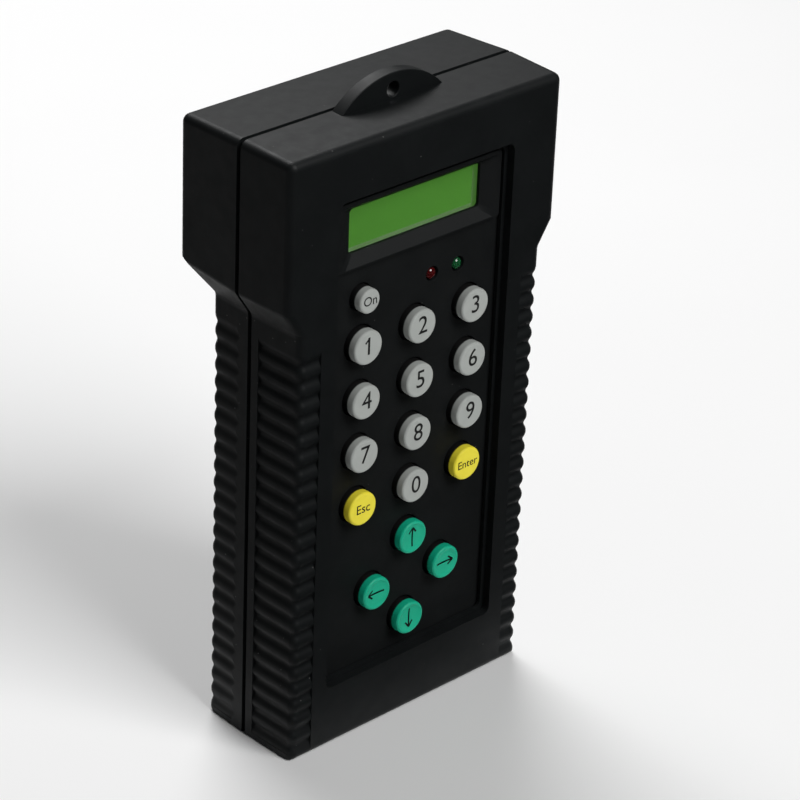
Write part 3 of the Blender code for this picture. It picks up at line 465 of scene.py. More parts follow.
@dataclass(frozen=True)
class Finish:
    """A surface with mottled colour, varied roughness, fine grain and a little dust.

    Lengths are millimetres.  A material is made once and shared by every piece that has it.
    """

    name: str
    colour: Colour
    mottle: float = 0.15
    mottle_size: float = 6.0
    roughness: float = 0.5
    roughness_swing: float = 0.08
    specular: float = 0.5
    metallic: float = 0.0
    grain_size: float = 0.25
    grain_depth: float = 0.01
    grain_stretch: Place = (1.0, 1.0, 1.0)
    dust: float = 0.0
    transmission: float = 0.0
    ior: float = 1.49
    coat: float = 0.0

    def material(self) -> bpy.types.Material:
        """Return the material, made at its first use.

        Returns:
            The material.
        """
        label = f"{self.name}_look"
        found = bpy.data.materials.get(label)
        if found is not None:
            return found
        made = bpy.data.materials.new(label)
        made.use_nodes = True
        self.wire(made.node_tree)
        return made

    def shader(self, tree: bpy.types.NodeTree) -> bpy.types.Node:
        """Set the values that are the same all over on the shader itself.

        Args:
            tree: The material's nodes.

        Returns:
            The shader.
        """
        shader = tree.nodes["Principled BSDF"]
        shader.inputs["Metallic"].default_value = self.metallic
        shader.inputs["Specular IOR Level"].default_value = self.specular
        shader.inputs["Transmission Weight"].default_value = self.transmission
        shader.inputs["IOR"].default_value = self.ior
        shader.inputs["Coat Weight"].default_value = self.coat
        return shader

    def noise(self, tree: bpy.types.NodeTree, size: float, detail: float,
              stretch: Place = (1.0, 1.0, 1.0)) -> bpy.types.NodeSocket:
        """Add a noise pattern on object coordinates.

        Args:
            tree: The material's nodes.
            size: Size of its blotches.
            detail: Finer octaves.
            stretch: How much longer the blotches are along each axis.

        Returns:
            The noise value, 0 to 1.
        """
        mapping = tree.nodes.new("ShaderNodeMapping")
        mapping.inputs["Scale"].default_value = [1.0 / axis for axis in stretch]
        pattern = tree.nodes.new("ShaderNodeTexNoise")
        pattern.inputs["Scale"].default_value = 1.0 / (size * MM)
        pattern.inputs["Detail"].default_value = detail
        tree.links.new(object_place(tree), mapping.inputs["Vector"])
        tree.links.new(mapping.outputs["Vector"], pattern.inputs["Vector"])
        return pattern.outputs["Fac"]

    def remap(self, tree: bpy.types.NodeTree, value: bpy.types.NodeSocket, low: float, high: float,
              source: Span = (0.3, 0.7)) -> bpy.types.NodeSocket:
        """Stretch a value from one range to another and clamp it.

        Args:
            tree: The material's nodes.
            value: The value to stretch.
            low: Result at the start of the source range.
            high: Result at its end.
            source: Range that the value has.

        Returns:
            The new value.
        """
        node = tree.nodes.new("ShaderNodeMapRange")
        node.inputs["From Min"].default_value = source[0]
        node.inputs["From Max"].default_value = source[1]
        node.inputs["To Min"].default_value = low
        node.inputs["To Max"].default_value = high
        tree.links.new(value, node.inputs["Value"])
        return node.outputs["Result"]

    def blend(self, tree: bpy.types.NodeTree, share: bpy.types.NodeSocket, first: object,
              second: object) -> bpy.types.NodeSocket:
        """Mix two colours, each a colour or another node's output.

        Args:
            tree: The material's nodes.
            share: How much of the second colour there is.
            first: Colour or output at 0.
            second: Colour or output at 1.

        Returns:
            The mixed colour.
        """
        node = tree.nodes.new("ShaderNodeMix")
        node.data_type = "RGBA"
        tree.links.new(share, node.inputs["Factor"])
        for socket, value in (("A", first), ("B", second)):
            target = next(i for i in node.inputs if i.name == socket and i.type == "RGBA")
            if isinstance(value, bpy.types.NodeSocket):
                tree.links.new(value, target)
            else:
                target.default_value = (*value, 1.0)
        return next(o for o in node.outputs if o.type == "RGBA")

    def dust_specks(self, tree: bpy.types.NodeTree) -> bpy.types.NodeSocket:
        """Return 1 on scattered specks of dust, and 0 elsewhere.

        Args:
            tree: The material's nodes.

        Returns:
            1 on a speck, 0 elsewhere.
        """
        pattern = cells(tree, DUST_PITCH)
        near = self.remap(tree, pattern.outputs["Distance"], 1.0, 0.0, DUST_SPECK)
        chance = tree.nodes.new("ShaderNodeSeparateColor")
        tree.links.new(pattern.outputs["Color"], chance.inputs["Color"])
        rare = self.remap(tree, chance.outputs["Red"], 0.0, self.dust, DUST_CHANCE)
        return calculate(tree, "MULTIPLY", near, rare)

    def colour_nodes(self, tree: bpy.types.NodeTree) -> bpy.types.NodeSocket:
        """Return the base colour: two close shades in soft blotches, with dust.

        Args:
            tree: The material's nodes.

        Returns:
            The colour.
        """
        darker = tuple(c * (1.0 - self.mottle) for c in self.colour)
        lighter = tuple(min(1.0, c * (1.0 + self.mottle)) for c in self.colour)
        share = self.remap(tree, self.noise(tree, self.mottle_size, 4.0), 0.0, 1.0)
        result = self.blend(tree, share, darker, lighter)
        if self.dust:
            result = self.blend(tree, self.dust_specks(tree), result, DUST_COLOUR)
        return result

    def wire(self, tree: bpy.types.NodeTree) -> None:
        """Connect colour, roughness and grain to the shader.

        Args:
            tree: The material's nodes.
        """
        shader = self.shader(tree)
        tree.links.new(self.colour_nodes(tree), shader.inputs["Base Color"])
        rough = self.remap(tree, self.noise(tree, self.mottle_size / 3, 5.0, self.grain_stretch),
                           self.roughness - self.roughness_swing, self.roughness + self.roughness_swing)
        tree.links.new(rough, shader.inputs["Roughness"])
        bump = tree.nodes.new("ShaderNodeBump")
        bump.inputs["Strength"].default_value = 1.0
        bump.inputs["Distance"].default_value = self.grain_depth * MM
        tree.links.new(self.noise(tree, self.grain_size, 3.0, self.grain_stretch), bump.inputs["Height"])
        tree.links.new(bump.outputs["Normal"], shader.inputs["Normal"])


@dataclass(frozen=True)
class LiquidCrystal(Finish):
    """A character display at rest: green field inside a pale border."""

    field: Span = (35.4, 9.2)
    middle_z: float = 119.9
    border: Colour = (0.30, 0.33, 0.27)
    fringe: float = 0.15
    # painted light: the field emits its own colour to make up for the front light that the lens keeps off it
    glow: float = 0.33

    def shader(self, tree: bpy.types.NodeTree) -> bpy.types.Node:
        """Set the even values, with a faint emission that is painted light: it makes up for the front light that the
        clear lens keeps off the glass, and also stands for the light guide behind it.

        Args:
            tree: The material's nodes.

        Returns:
            The shader.
        """
        shader = super().shader(tree)
        shader.inputs["Emission Color"].default_value = (*self.colour, 1.0)
        shader.inputs["Emission Strength"].default_value = self.glow
        return shader

    def colour_nodes(self, tree: bpy.types.NodeTree) -> bpy.types.NodeSocket:
        """Return the green field inside its border.

        Args:
            tree: The material's nodes.

        Returns:
            The colour.
        """
        result = super().colour_nodes(tree)
        for axis, middle, width in (("X", 0.0, self.field[0]), ("Z", self.middle_z, self.field[1])):
            away = calculate(tree, "SUBTRACT", coordinate(tree, axis), middle * MM)
            distance = calculate(tree, "ABSOLUTE", away)
            half = width / 2 * MM
            outside = self.remap(tree, distance, 0.0, 1.0, (half, half + self.fringe * MM))
            result = self.blend(tree, outside, result, self.border)
        return result


@dataclass(frozen=True)
class CircuitBoard(Finish):
    """Solder mask with copper runs showing through as a lighter pattern."""

    run_colour: Colour = (0.03, 0.22, 0.07)
    run_pitch: float = 3.0
    run_edge: Span = (0.42, 0.46)

    def colour_nodes(self, tree: bpy.types.NodeTree) -> bpy.types.NodeSocket:
        """Return the mask colour with straight runs of copper under it."""
        base = super().colour_nodes(tree)
        distance = cells(tree, self.run_pitch, "MANHATTAN").outputs["Distance"]
        return self.blend(tree, self.remap(tree, distance, 0.0, 1.0, self.run_edge), base, self.run_colour)


@dataclass(frozen=True)
class CellSleeve(Finish):
    """Sleeve of a plain dry cell: dark, with one copper-coloured end."""

    cap_colour: Colour = (0.55, 0.27, 0.10)
    split_z: float = 74.2
    cap_above: bool = True
    fringe: float = 0.05

    def colour_nodes(self, tree: bpy.types.NodeTree) -> bpy.types.NodeSocket:
        """Return the sleeve colour, split at one height.

        Args:
            tree: The material's nodes.

        Returns:
            The colour.
        """
        base = super().colour_nodes(tree)
        span = (self.split_z * MM, (self.split_z + self.fringe) * MM)
        above = self.remap(tree, coordinate(tree, "Z"), 0.0, 1.0, span)
        colours = (base, self.cap_colour) if self.cap_above else (self.cap_colour, base)
        return self.blend(tree, above, *colours)


@dataclass(frozen=True)
class KeyPlastic(Finish):
    """Moulded key colour with painted shade low on the key's side, where the key enters the panel."""

    foot: Span = (1.75, 2.05)
    front: float = 17.15
    # painted shade: below the foot depth the key colour fades to near black, standing in for the shade in the hole
    # round the key
    grime: Colour = (0.004, 0.004, 0.004)

    def colour_nodes(self, tree: bpy.types.NodeTree) -> bpy.types.NodeSocket:
        """Return the key colour, fading to a painted shade below a depth."""
        base = super().colour_nodes(tree)
        span = tuple((depth - self.front) * MM for depth in self.foot)
        return self.blend(tree, self.remap(tree, coordinate(tree, "Y"), 0.0, 1.0, span), base, self.grime)


CASE = Finish("case_black", (0.0062, 0.0074, 0.0078), 0.12, 9.0, 0.50, 0.05, 0.20,
              grain_size=0.22, grain_depth=0.012, dust=0.35)
PANEL = Finish("panel_black", (0.0075, 0.0085, 0.0088), 0.10, 8.0, 0.52, 0.05, 0.20,
               grain_size=0.20, grain_depth=0.010, dust=0.35)
KEY_GREY = KeyPlastic("key_grey", (0.40, 0.42, 0.40), 0.03, 3.0, 0.55, 0.06, 0.35,
                  grain_size=0.16, grain_depth=0.004)
KEY_YELLOW = KeyPlastic("key_yellow", (0.90, 0.78, 0.045), 0.03, 3.0, 0.50, 0.06, 0.35,
                    grain_size=0.16, grain_depth=0.004)
KEY_GREEN = KeyPlastic("key_green", (0.004, 0.44, 0.26), 0.04, 3.0, 0.48, 0.06, 0.35,
                   grain_size=0.16, grain_depth=0.004)
INK = Finish("legend_ink", (0.012, 0.012, 0.012), 0.2, 1.0, 0.55, 0.1, 0.3, grain_size=0.1, grain_depth=0.002)
RUBBER = Finish("rubber_mat", (0.04, 0.04, 0.045), 0.15, 5.0, 0.75, 0.08, 0.3, dust=0.2)
LENS = Finish("clear_lens", (0.93, 0.97, 0.93), 0.01, 8.0, 0.06, 0.02, 0.4, transmission=1.0,
              grain_depth=0.0005)
DISPLAY = LiquidCrystal("display_green", (0.125, 0.37, 0.055), 0.04, 4.0, 0.35, 0.05, 0.2, grain_depth=0.001)
GUIDE = Finish("light_guide", (0.75, 0.80, 0.65), 0.05, 4.0, 0.3, 0.05, 0.5, transmission=0.5)
STEEL = Finish("steel", (0.55, 0.55, 0.56), 0.12, 2.0, 0.30, 0.10, metallic=1.0,
               grain_size=0.12, grain_depth=0.004, grain_stretch=(12.0, 1.0, 1.0))
BOARD = CircuitBoard("board_green", (0.008, 0.09, 0.028), 0.15, 3.0, 0.35, 0.08)
CHIP = Finish("chip_black", (0.018, 0.018, 0.018), 0.2, 2.0, 0.55, 0.1, grain_size=0.15)
SLEEVE = Finish("capacitor_sleeve", (0.02, 0.03, 0.10), 0.1, 3.0, 0.3, 0.05)
RED_LENS = Finish("lamp_red", (0.12, 0.006, 0.007), 0.1, 1.0, 0.12, 0.03, 0.5, transmission=0.55,
                  grain_depth=0.001, coat=0.6)
GREEN_LENS = Finish("lamp_green", (0.015, 0.16, 0.05), 0.1, 1.0, 0.12, 0.03, 0.5, transmission=0.55,
                    grain_depth=0.001, coat=0.6)
CELL_UPRIGHT = CellSleeve("cell_wrap", (0.02, 0.022, 0.03), 0.15, 4.0, 0.28, 0.06)
CELL_TURNED = CellSleeve("cell_wrap_turned", (0.02, 0.022, 0.03), 0.15, 4.0, 0.28, 0.06,
                         split_z=43.5, cap_above=False)
PAPER = Finish("speaker_paper", (0.05, 0.045, 0.04), 0.3, 1.2, 0.85, 0.1, 0.2, grain_depth=0.03)
MAGNET = Finish("magnet", (0.03, 0.03, 0.032), 0.2, 2.0, 0.45, 0.1)
FOAM = Finish("gasket_foam", (0.03, 0.03, 0.03), 0.3, 0.8, 0.95, 0.04, 0.1, grain_size=0.3, grain_depth=0.05)


def dress(piece: bpy.types.Object, finish: Finish) -> None:
    """Give a piece one material all over."""
    piece.data.materials.clear()
    piece.data.materials.append(finish.material())


def hand_over(piece: bpy.types.Object, body: str, finish: Finish, *nodes: str, slot: str | None = None) -> None:
    """Dress a finished piece, tie it to its CAD body and report it.

    Args:
        piece: The finished mesh.
        body: CAD body that it moves with.
        finish: Its material.
        nodes: CAD nodes that it stands for.
        slot: Not used.
    """
    dress(piece, finish)
    if nodes:
        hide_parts(*nodes)
    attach(piece, body)
    LOG.info("%s: %d faces on %s", piece.name, len(piece.data.polygons), body)


# ---- Case ----------------------------------------------------------------------
@dataclass
class CaseForm:
    """Outer form that both halves of the case share."""

    head_width: float = 75.9
    grip_width: float = 68.6
    height: float = 141.4
    head_lower: float = 107.9
    neck: float = 102.3
    parting: float = 15.3
    seam: float = 1.1
    grip_back: float = 27.7
    head_back: float = 34.3
    wall: float = 2.5
    front_wall: float = 2.8
    edge_radius: float = 1.8
    edge_steps: int = 8
    front_draft: float = 0.021
    rear_draft: float = 0.038
    neck_share: float = 0.45
    head_lower_share: float = 0.28
    foot_share: float = 0.3
    foot_below: float = 5.0
    tongue_inset: float = 1.3
    tongue_length: float = 2.0
    gap: float = 0.3

    @property
    def front_rim(self) -> float:
        """Depth of the front half's rim."""
        return self.parting - self.seam / 2

    @property
    def rear_rim(self) -> float:
        """Depth of the rear half's rim."""
        return self.parting + self.seam / 2

    def solid(self, bench: Workbench, name: str, inset: float, depth: Span) -> bpy.types.Object:
        """Shape a block into the head, neck and narrower grip, moved inwards all round.

        Args:
            bench: The modelling operators.
            name: Name of the piece.
            inset: How far its sides lie inside the case's.
            depth: Its front and back.

        Returns:
            The new piece, with square edges.
        """
        half_head = self.head_width / 2 - inset
        half_grip = self.grip_width / 2 - inset
        piece = bench.block(name, (-half_head, half_head), depth, (inset, self.height - inset))
        run = (self.head_width - self.grip_width) / 2
        rise = self.head_lower - self.neck
        slant = math.hypot(run, rise)
        lift = inset * (slant - rise) / run
        for level in (self.neck + lift, self.head_lower + lift):
            bench.split(piece, level)
        bench.narrow(piece, lambda at: at[2] < self.neck + lift + NEAR, half_grip / half_head)
        return piece

    def edge_share(self, rim: float, level_share: float) -> Callable[[Place, Place], float]:
        """Return the rule for how much of the edge radius each edge of a half takes.

        Args:
            rim: Depth of the half's rim, whose edges stay sharp.
            level_share: Share of the level edges between the head and the grip.

        Returns:
            The rule, which gets an edge's two places.
        """
        def share(one: Place, two: Place) -> float:
            """Return one edge's share.

            Args:
                one: One place.
                two: The other place.

            Returns:
                The share, 0 to 1.
            """
            at_rim = [abs(place[1] - rim) < 2 * NEAR for place in (one, two)]
            low = min(one[2], two[2])
            if all(at_rim):
                return 0.0
            if any(at_rim):
                if low < self.foot_below:
                    return self.foot_share
                if low < self.neck + 2.0:
                    return self.neck_share
                return self.head_lower_share if low < self.head_lower + 2.0 else 1.0
            level = abs(one[2] - two[2]) < 0.6
            return level_share if level and self.neck - 3.0 < low < self.head_lower + 3.0 else 1.0

        return share


@dataclass
class RibbedGrip:
    """Cutters for the ribs that wrap each side of the grip."""

    pitch: float = 4.0
    count: int = 24
    lowest: float = 3.6
    depth: float = 0.60
    rear_depth: float = 0.42
    sunk: float = 0.06
    steps: int = 10
    wrap: float = 5.6
    strip: float = 2.1
    margin: float = 1.2
    crest: float = 1.4
    fade: float = 1.6
    clear: float = 0.1
    turn_steps: int = 8

    def comb(self, bench: Workbench, name: str, surface: float, depth: float, wave: float,
             outside: float) -> bpy.types.Object:
        """Lay a thin strip across the ribs, with its inner edge waved like them.

        Args:
            bench: The modelling operators.
            name: Name of the strip.
            surface: How far from the middle the side wall lies.
            depth: Where the strip stands.
            wave: How deep the grooves are.
            outside: How far the whole strip is first held outside the wall.

        Returns:
            The strip, ready to be extruded.
        """
        rows = self.count * self.steps
        low = self.lowest - self.pitch / 2
        height = self.count * self.pitch
        bench.take()
        bpy.ops.mesh.primitive_grid_add(
            x_subdivisions=1, y_subdivisions=rows, size=1.0,
            location=bench.world(surface + outside + self.margin / 2, depth, low + height / 2),
            rotation=(math.pi / 2, 0.0, 0.0))
        piece = bpy.context.active_object
        piece.scale = (self.margin * MM, height * MM, 1.0)
        piece = bench.settle(name)
        inner = surface + outside + self.margin / 2
        for phase in range(self.steps):
            rise = 0.5 - 0.5 * math.cos(2.0 * math.pi * phase / self.steps)
            cut = self.sunk + wave * rise ** self.crest
            bench.move(piece, lambda at: at[0] < inner
                       and round((at[2] - low) / self.pitch * self.steps) % self.steps == phase, (-cut, 0.0, 0.0))
        return piece

    @staticmethod
    def sweep(bench: Workbench, piece: bpy.types.Object, reaches: list[Place], turn: float, steps: int,
              centre: Place) -> None:
        """Sweep a strip along straight runs with one turn before the last run.

        Args:
            bench: The modelling operators.
            piece: The strip.
            reaches: Each straight run.
            turn: Angle of the turn, in radians.
            steps: Facets round the turn.
            centre: Where the turn's axis stands.
        """
        bench.edit(piece)
        for index, reach in enumerate(reaches):
            if index == len(reaches) - 1:
                bpy.ops.mesh.spin(steps=steps, angle=turn, center=bench.world(*centre), axis=(0.0, 0.0, 1.0))
            bench.extrude(reach)
        bpy.ops.mesh.select_all(action="SELECT")
        bpy.ops.mesh.normals_make_consistent(inside=False)
        bench.take(piece)

    def front_cutters(self, bench: Workbench, form: CaseForm) -> bpy.types.Object:
        """Return both cutters of the front half, as one piece.

        Args:
            bench: The modelling operators.
            form: Outer form of the case.

        Returns:
            The cutters.
        """
        half = form.grip_width / 2
        radius = form.edge_radius
        start = form.front_rim - self.strip
        lean = form.front_draft
        at_start = half - lean * (form.parting - start)
        at_turn = half - lean * (form.parting - radius)
        right = self.comb(bench, "rib_cutter_right", at_start, start, self.depth, 0.0)
        self.sweep(bench, right, [(at_turn - at_start, radius - start, 0.0), (radius - self.wrap, 0.0, 0.0)],
                   math.pi / 2, self.turn_steps, (at_turn - radius, radius, 0.0))
        return bench.merge(right, bench.mirrored(right, "rib_cutter_left"))

    def rear_cutters(self, bench: Workbench, form: CaseForm) -> bpy.types.Object:
        """Return both cutters of the rear half, as one piece; their ribs fade out towards the seam.

        Args:
            bench: The modelling operators.
            form: Outer form of the case.

        Returns:
            The cutters.
        """
        half = form.grip_width / 2
        radius = form.edge_radius
        start = form.rear_rim + self.strip
        fade = self.fade
        lead = self.rear_depth + self.sunk + self.clear
        lean = form.rear_draft
        at_start = half - lean * (start + fade - form.parting)
        at_turn = half - lean * (form.grip_back - radius - form.parting)
        right = self.comb(bench, "rear_rib_cutter_right", at_start, start, self.rear_depth, lead)
        self.sweep(bench, right, [(-lead, fade, 0.0),
                                  (at_turn - at_start, form.grip_back - radius - start - fade, 0.0),
                                  (radius - self.wrap, 0.0, 0.0)],
                   -math.pi / 2, self.turn_steps, (at_turn - radius, form.grip_back - radius, 0.0))
        return bench.merge(right, bench.mirrored(right, "rear_rib_cutter_left"))


@dataclass
class FrontShell:
    """Front half of the case, with its recess, its ribs and the hanging lug."""

    form: CaseForm
    ribs: RibbedGrip
    recess_width: float = 48.7
    recess_z: Span = (14.8, 129.0)
    recess_depth: float = 1.95
    recess_radius: float = 1.6
    ledge: float = 0.95
    lug_chord: float = 27.8
    lug_rise: float = 5.8
    lug_thickness: float = 3.1
    lug_root: float = 1.0
    lug_edge: float = 0.22
    lug_sides: int = 160
    hole_radius: float = 1.65
    hole_rise: float = 2.1

    def block_out(self, bench: Workbench) -> bpy.types.Object:
        """Return the solid front half with its draft and rounded edges.

        Args:
            bench: The modelling operators.

        Returns:
            The solid half.
        """
        form = self.form
        piece = form.solid(bench, "front_case_half", 0.0, (0.0, form.front_rim))
        lean = form.front_draft * form.parting
        bench.narrow(piece, lambda at: at[1] < NEAR, 1.0 - lean / (form.head_width / 2))
        bench.move(piece, lambda at: at[1] < NEAR and at[2] > form.height - 1.0, (0.0, 0.0, -lean))
        bench.weighted_bevel(piece, form.edge_radius, form.edge_steps, form.edge_share(form.front_rim, 0.0))
        return piece

    def lug(self, bench: Workbench) -> bpy.types.Object:
        """Return the half-round hanging lug with its cord hole.

        Args:
            bench: The modelling operators.

        Returns:
            The lug.
        """
        form = self.form
        half = self.lug_chord / 2
        radius = (half ** 2 + self.lug_rise ** 2) / (2 * self.lug_rise)
        centre = form.height + self.lug_rise - radius
        span = (form.front_rim - self.lug_thickness, form.front_rim)
        lug = bench.rod("lug", radius, span, 0.0, centre, self.lug_sides)
        bench.split(lug, form.height - self.lug_root, keep_above=True)
        bench.combine(lug, Cut.REMOVE,
                      bench.rod("lug_hole", self.hole_radius, (span[0] - PROUD, span[1] + PROUD), 0.0,
                                form.height + self.hole_rise))
        bench.soften(lug, self.lug_edge, 3, 50.0)
        return lug

    def opening(self, bench: Workbench, name: str, margin: float, depth: Span) -> bpy.types.Object:
        """Return a round-cornered cutter for the recess, smaller by a margin all round.

        Args:
            bench: The modelling operators.
            name: Name of the new object.
            margin: How far it stays inside the recess.
            depth: Its front and back.

        Returns:
            The cutter.
        """
        half = self.recess_width / 2 - margin
        low, high = self.recess_z
        cutter = bench.block(name, (-half, half), depth, (low + margin, high - margin))
        bench.round_edges(cutter, runs_back, self.recess_radius, 8)
        return cutter

    def build(self, bench: Workbench) -> None:
        """Model, dress and hand over the front half.

        Args:
            bench: The modelling operators.
        """
        form = self.form
        shell = self.block_out(bench)
        bench.combine(shell, Cut.REMOVE, self.ribs.front_cutters(bench, form))
        tongue = form.solid(bench, "tongue", form.tongue_inset,
                            (form.front_rim - 1.0, form.parting + form.tongue_length))
        bench.combine(shell, Cut.ADD, tongue, self.lug(bench))
        bench.combine(shell, Cut.REMOVE,
                      form.solid(bench, "hollow", form.wall, (form.front_wall, form.parting + 4.0)),
                      self.opening(bench, "recess", 0.0, (-PROUD, self.recess_depth)),
                      self.opening(bench, "mouth", self.ledge, (PROUD, form.front_wall + PROUD)))
        bench.soften(shell)
        bench.smooth(shell)
        hand_over(shell, "case", CASE, "front_shell")


@dataclass
class RearShell:
    """Rear half of the case, with battery bay, door seat, screw wells and loudspeaker grille."""

    form: CaseForm
    ribs: RibbedGrip
    bay_width: float = 46.5
    bay_z: Span = (33.0, 84.7)
    bay_floor: Span = (12.5, 13.7)
    bay_wall: float = 1.2
    door_lap: float = 1.8
    door_thickness: float = 1.8
    pin_diameter: float = 1.2
    pin_room: float = 2.6
    notch_width: float = 14.0
    notch_z: Span = (-1.1, 2.3)
    notch_radius: float = 1.6
    screws: tuple[tuple[float, float], ...] = ((30.8, 134.0), (27.0, 8.6))
    boss_radius: float = 4.2
    bore_radius: float = 1.5
    well_radius: float = 3.2
    well_depth: float = 21.5
    grille_radius: float = 11.5
    grille_pitch: float = 3.1
    grille_slot: float = 1.5

    def block_out(self, bench: Workbench) -> bpy.types.Object:
        """Return the solid rear half: deep head, shallower grip, draft and rounded edges.

        Args:
            bench: The modelling operators.

        Returns:
            The solid half.
        """
        form = self.form
        piece = form.solid(bench, "rear_case_half", 0.0, (form.rear_rim, form.head_back))
        back = form.head_back - NEAR
        head_above, grip_below = form.head_lower - 0.5, form.neck + 0.5
        lean = form.rear_draft * (form.head_back - form.parting)
        grip_lean = form.rear_draft * (form.grip_back - form.parting)
        bench.move(piece, lambda at: at[1] > back and at[2] > form.height - 1.0, (0.0, 0.0, -lean))
        bench.move(piece, lambda at: at[1] > back and head_above < at[2] < form.height - 2.0,
                   (0.0, 0.0, lean))
        bench.narrow(piece, lambda at: at[1] > back and at[2] > head_above,
                     1.0 - lean / (form.head_width / 2))
        bench.narrow(piece, lambda at: at[1] > back and at[2] < grip_below,
                     1.0 - grip_lean / (form.grip_width / 2))
        bench.move(piece, lambda at: at[1] > back and at[2] < grip_below,
                   (0.0, form.grip_back - form.head_back, 0.0))
        bench.weighted_bevel(piece, form.edge_radius, form.edge_steps,
                             form.edge_share(form.rear_rim, form.neck_share))
        return piece

    def hollow(self, bench: Workbench) -> bpy.types.Object:
        """Return the cutter for the inside.

        Args:
            bench: The modelling operators.

        Returns:
            The cutter.
        """
        form = self.form
        cutter = form.solid(bench, "rear_hollow", form.wall + 0.3, (form.rear_rim - 1.0, form.head_back - form.wall))
        bench.move(cutter, lambda at: at[1] > form.head_back - 4.0 and at[2] < form.head_lower - 2.0,
                   (0.0, form.grip_back - form.head_back, 0.0))
        return cutter

    def slots(self, bench: Workbench, centre_z: float) -> bpy.types.Object:
        """Return the loudspeaker grille's slots, as one cutter.

        Args:
            bench: The modelling operators.
            centre_z: Height of the loudspeaker's middle.

        Returns:
            The cutter.
        """
        form = self.form
        rows = int(self.grille_radius / self.grille_pitch)
        cutters = []
        for row in range(-rows, rows + 1):
            z = centre_z + row * self.grille_pitch
            half = math.sqrt(self.grille_radius ** 2 - (row * self.grille_pitch) ** 2)
            cutter = bench.block(f"grille_slot_{row + rows}", (-half, half),
                                 (form.head_back - form.wall - 1.0, form.head_back + 1.0),
                                 (z - self.grille_slot / 2, z + self.grille_slot / 2))
            bench.round_edges(cutter, runs_back, self.grille_slot * ALMOST_HALF, 6)
            cutters.append(cutter)
        return bench.merge(*cutters)

    def add_battery_bay(self, bench: Workbench, shell: bpy.types.Object) -> None:
        """Wall off the battery bay and cut its room, door seat, hinge bores and finger notch.

        Args:
            bench: The modelling operators.
            shell: The rear half so far.
        """
        form = self.form
        low, high = self.bay_z
        half = self.bay_width / 2
        outer = form.grip_back + PROUD
        bench.combine(shell, Cut.ADD, bench.block(
            "bay", (-half - self.bay_wall, half + self.bay_wall), (self.bay_floor[0], form.grip_back - 1.0),
            (low - self.bay_wall, high + self.bay_wall)))
        seat = self.door_lap + form.gap
        pin_at = (0.0, form.grip_back - self.door_thickness / 2,
                  low - self.door_lap + self.door_thickness / 2)
        pins = bench.bar("pin_bore", self.pin_diameter / 2 + form.gap, 2 * half + 2 * seat + self.pin_room,
                         pin_at, Axis.ACROSS, 32)
        notch = bench.block("finger_notch", (-self.notch_width / 2, self.notch_width / 2),
                            (form.grip_back - 1.0, outer),
                            (high + self.door_lap + self.notch_z[0], high + self.door_lap + self.notch_z[1]))
        bench.round_edges(notch, runs_back, self.notch_radius, 8)
        bench.combine(shell, Cut.REMOVE,
                      bench.block("bay_room", (-half, half), (self.bay_floor[1], outer), (low, high)),
                      bench.block("door_seat", (-half - seat, half + seat),
                                  (form.grip_back - self.door_thickness - form.gap, outer),
                                  (low - seat, high + seat)),
                      pins, notch)

    def add_screw_wells(self, bench: Workbench, shell: bpy.types.Object) -> None:
        """Add the four screw bosses and sink their bores and wells.

        Args:
            bench: The modelling operators.
            shell: The rear half so far.
        """
        form = self.form
        for x, z in self.screws:
            back = (form.head_back if z > form.neck else form.grip_back) - 1.0
            for side in Side:
                place = (x * side.value, z)
                bench.combine(shell, Cut.ADD, bench.rod("boss", self.boss_radius,
                                                        (form.rear_rim + form.gap, back), *place, 40))
                bench.combine(shell, Cut.REMOVE,
                              bench.rod("screw_bore", self.bore_radius, (form.rear_rim - PROUD, form.head_back),
                                        *place, 32),
                              bench.rod("screw_well", self.well_radius,
                                        (self.well_depth, form.head_back + PROUD), *place))

    def build(self, bench: Workbench) -> None:
        """Model, dress and hand over the rear half.

        Args:
            bench: The modelling operators.
        """
        form = self.form
        shell = self.block_out(bench)
        bench.combine(shell, Cut.REMOVE, self.ribs.rear_cutters(bench, form), self.hollow(bench),
                      form.solid(bench, "tongue_room", form.tongue_inset - form.gap,
                                 (form.rear_rim - PROUD, form.parting + form.tongue_length + form.gap)))
        self.add_battery_bay(bench, shell)
        self.add_screw_wells(bench, shell)
        speaker_low, speaker_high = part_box("speaker_basket")
        bench.combine(shell, Cut.REMOVE, self.slots(bench, (speaker_low.z + speaker_high.z) / 2 / MM))
        bench.soften(shell)
        bench.smooth(shell)
        hand_over(shell, "case", CASE, "rear_shell")


@dataclass
class BatteryDoor:
    """Battery door with its pins and finger grooves."""

    form: CaseForm
    pin_radius: float = 0.6
    pin_length: float = 1.0
    groove_width: float = 14.0
    groove_radius: float = 0.4
    groove_rise: float = 0.08
    groove_start: float = 4.0
    groove_pitch: float = 1.8
    grooves: int = 5

    def build(self, bench: Workbench) -> None:
        """Model, dress and hand over the door.

        Args:
            bench: The modelling operators.
        """
        low, high = bench.box("battery_door")
        x = (low[0] + self.pin_length, high[0] - self.pin_length)
        door = bench.block("battery_door_panel", x, (low[1], high[1]), (low[2], high[2]))
        thickness = high[1] - low[1]
        bench.round_edges(door, lambda one, two: one[2] < low[2] + NEAR and two[2] < low[2] + NEAR
                          and abs(one[0] - two[0]) > 1.0, thickness / 2 * 0.98, 8)
        pin_at = (0.0, low[1] + thickness / 2, low[2] + thickness / 2)
        bench.combine(door, Cut.ADD, bench.bar("door_pins", self.pin_radius, high[0] - low[0], pin_at,
                                               Axis.ACROSS, 32))
        cutters = [bench.bar(f"door_groove_{row}", self.groove_radius, self.groove_width,
                             (0.0, high[1] + self.groove_rise,
                              high[2] - self.groove_start - self.groove_pitch * row), Axis.ACROSS, 24)
                   for row in range(self.grooves)]
        bench.combine(door, Cut.REMOVE, *cutters)
        bench.soften(door, 0.15, 3)
        bench.smooth(door)
        hand_over(door, "battery_door", CASE, "battery_door")


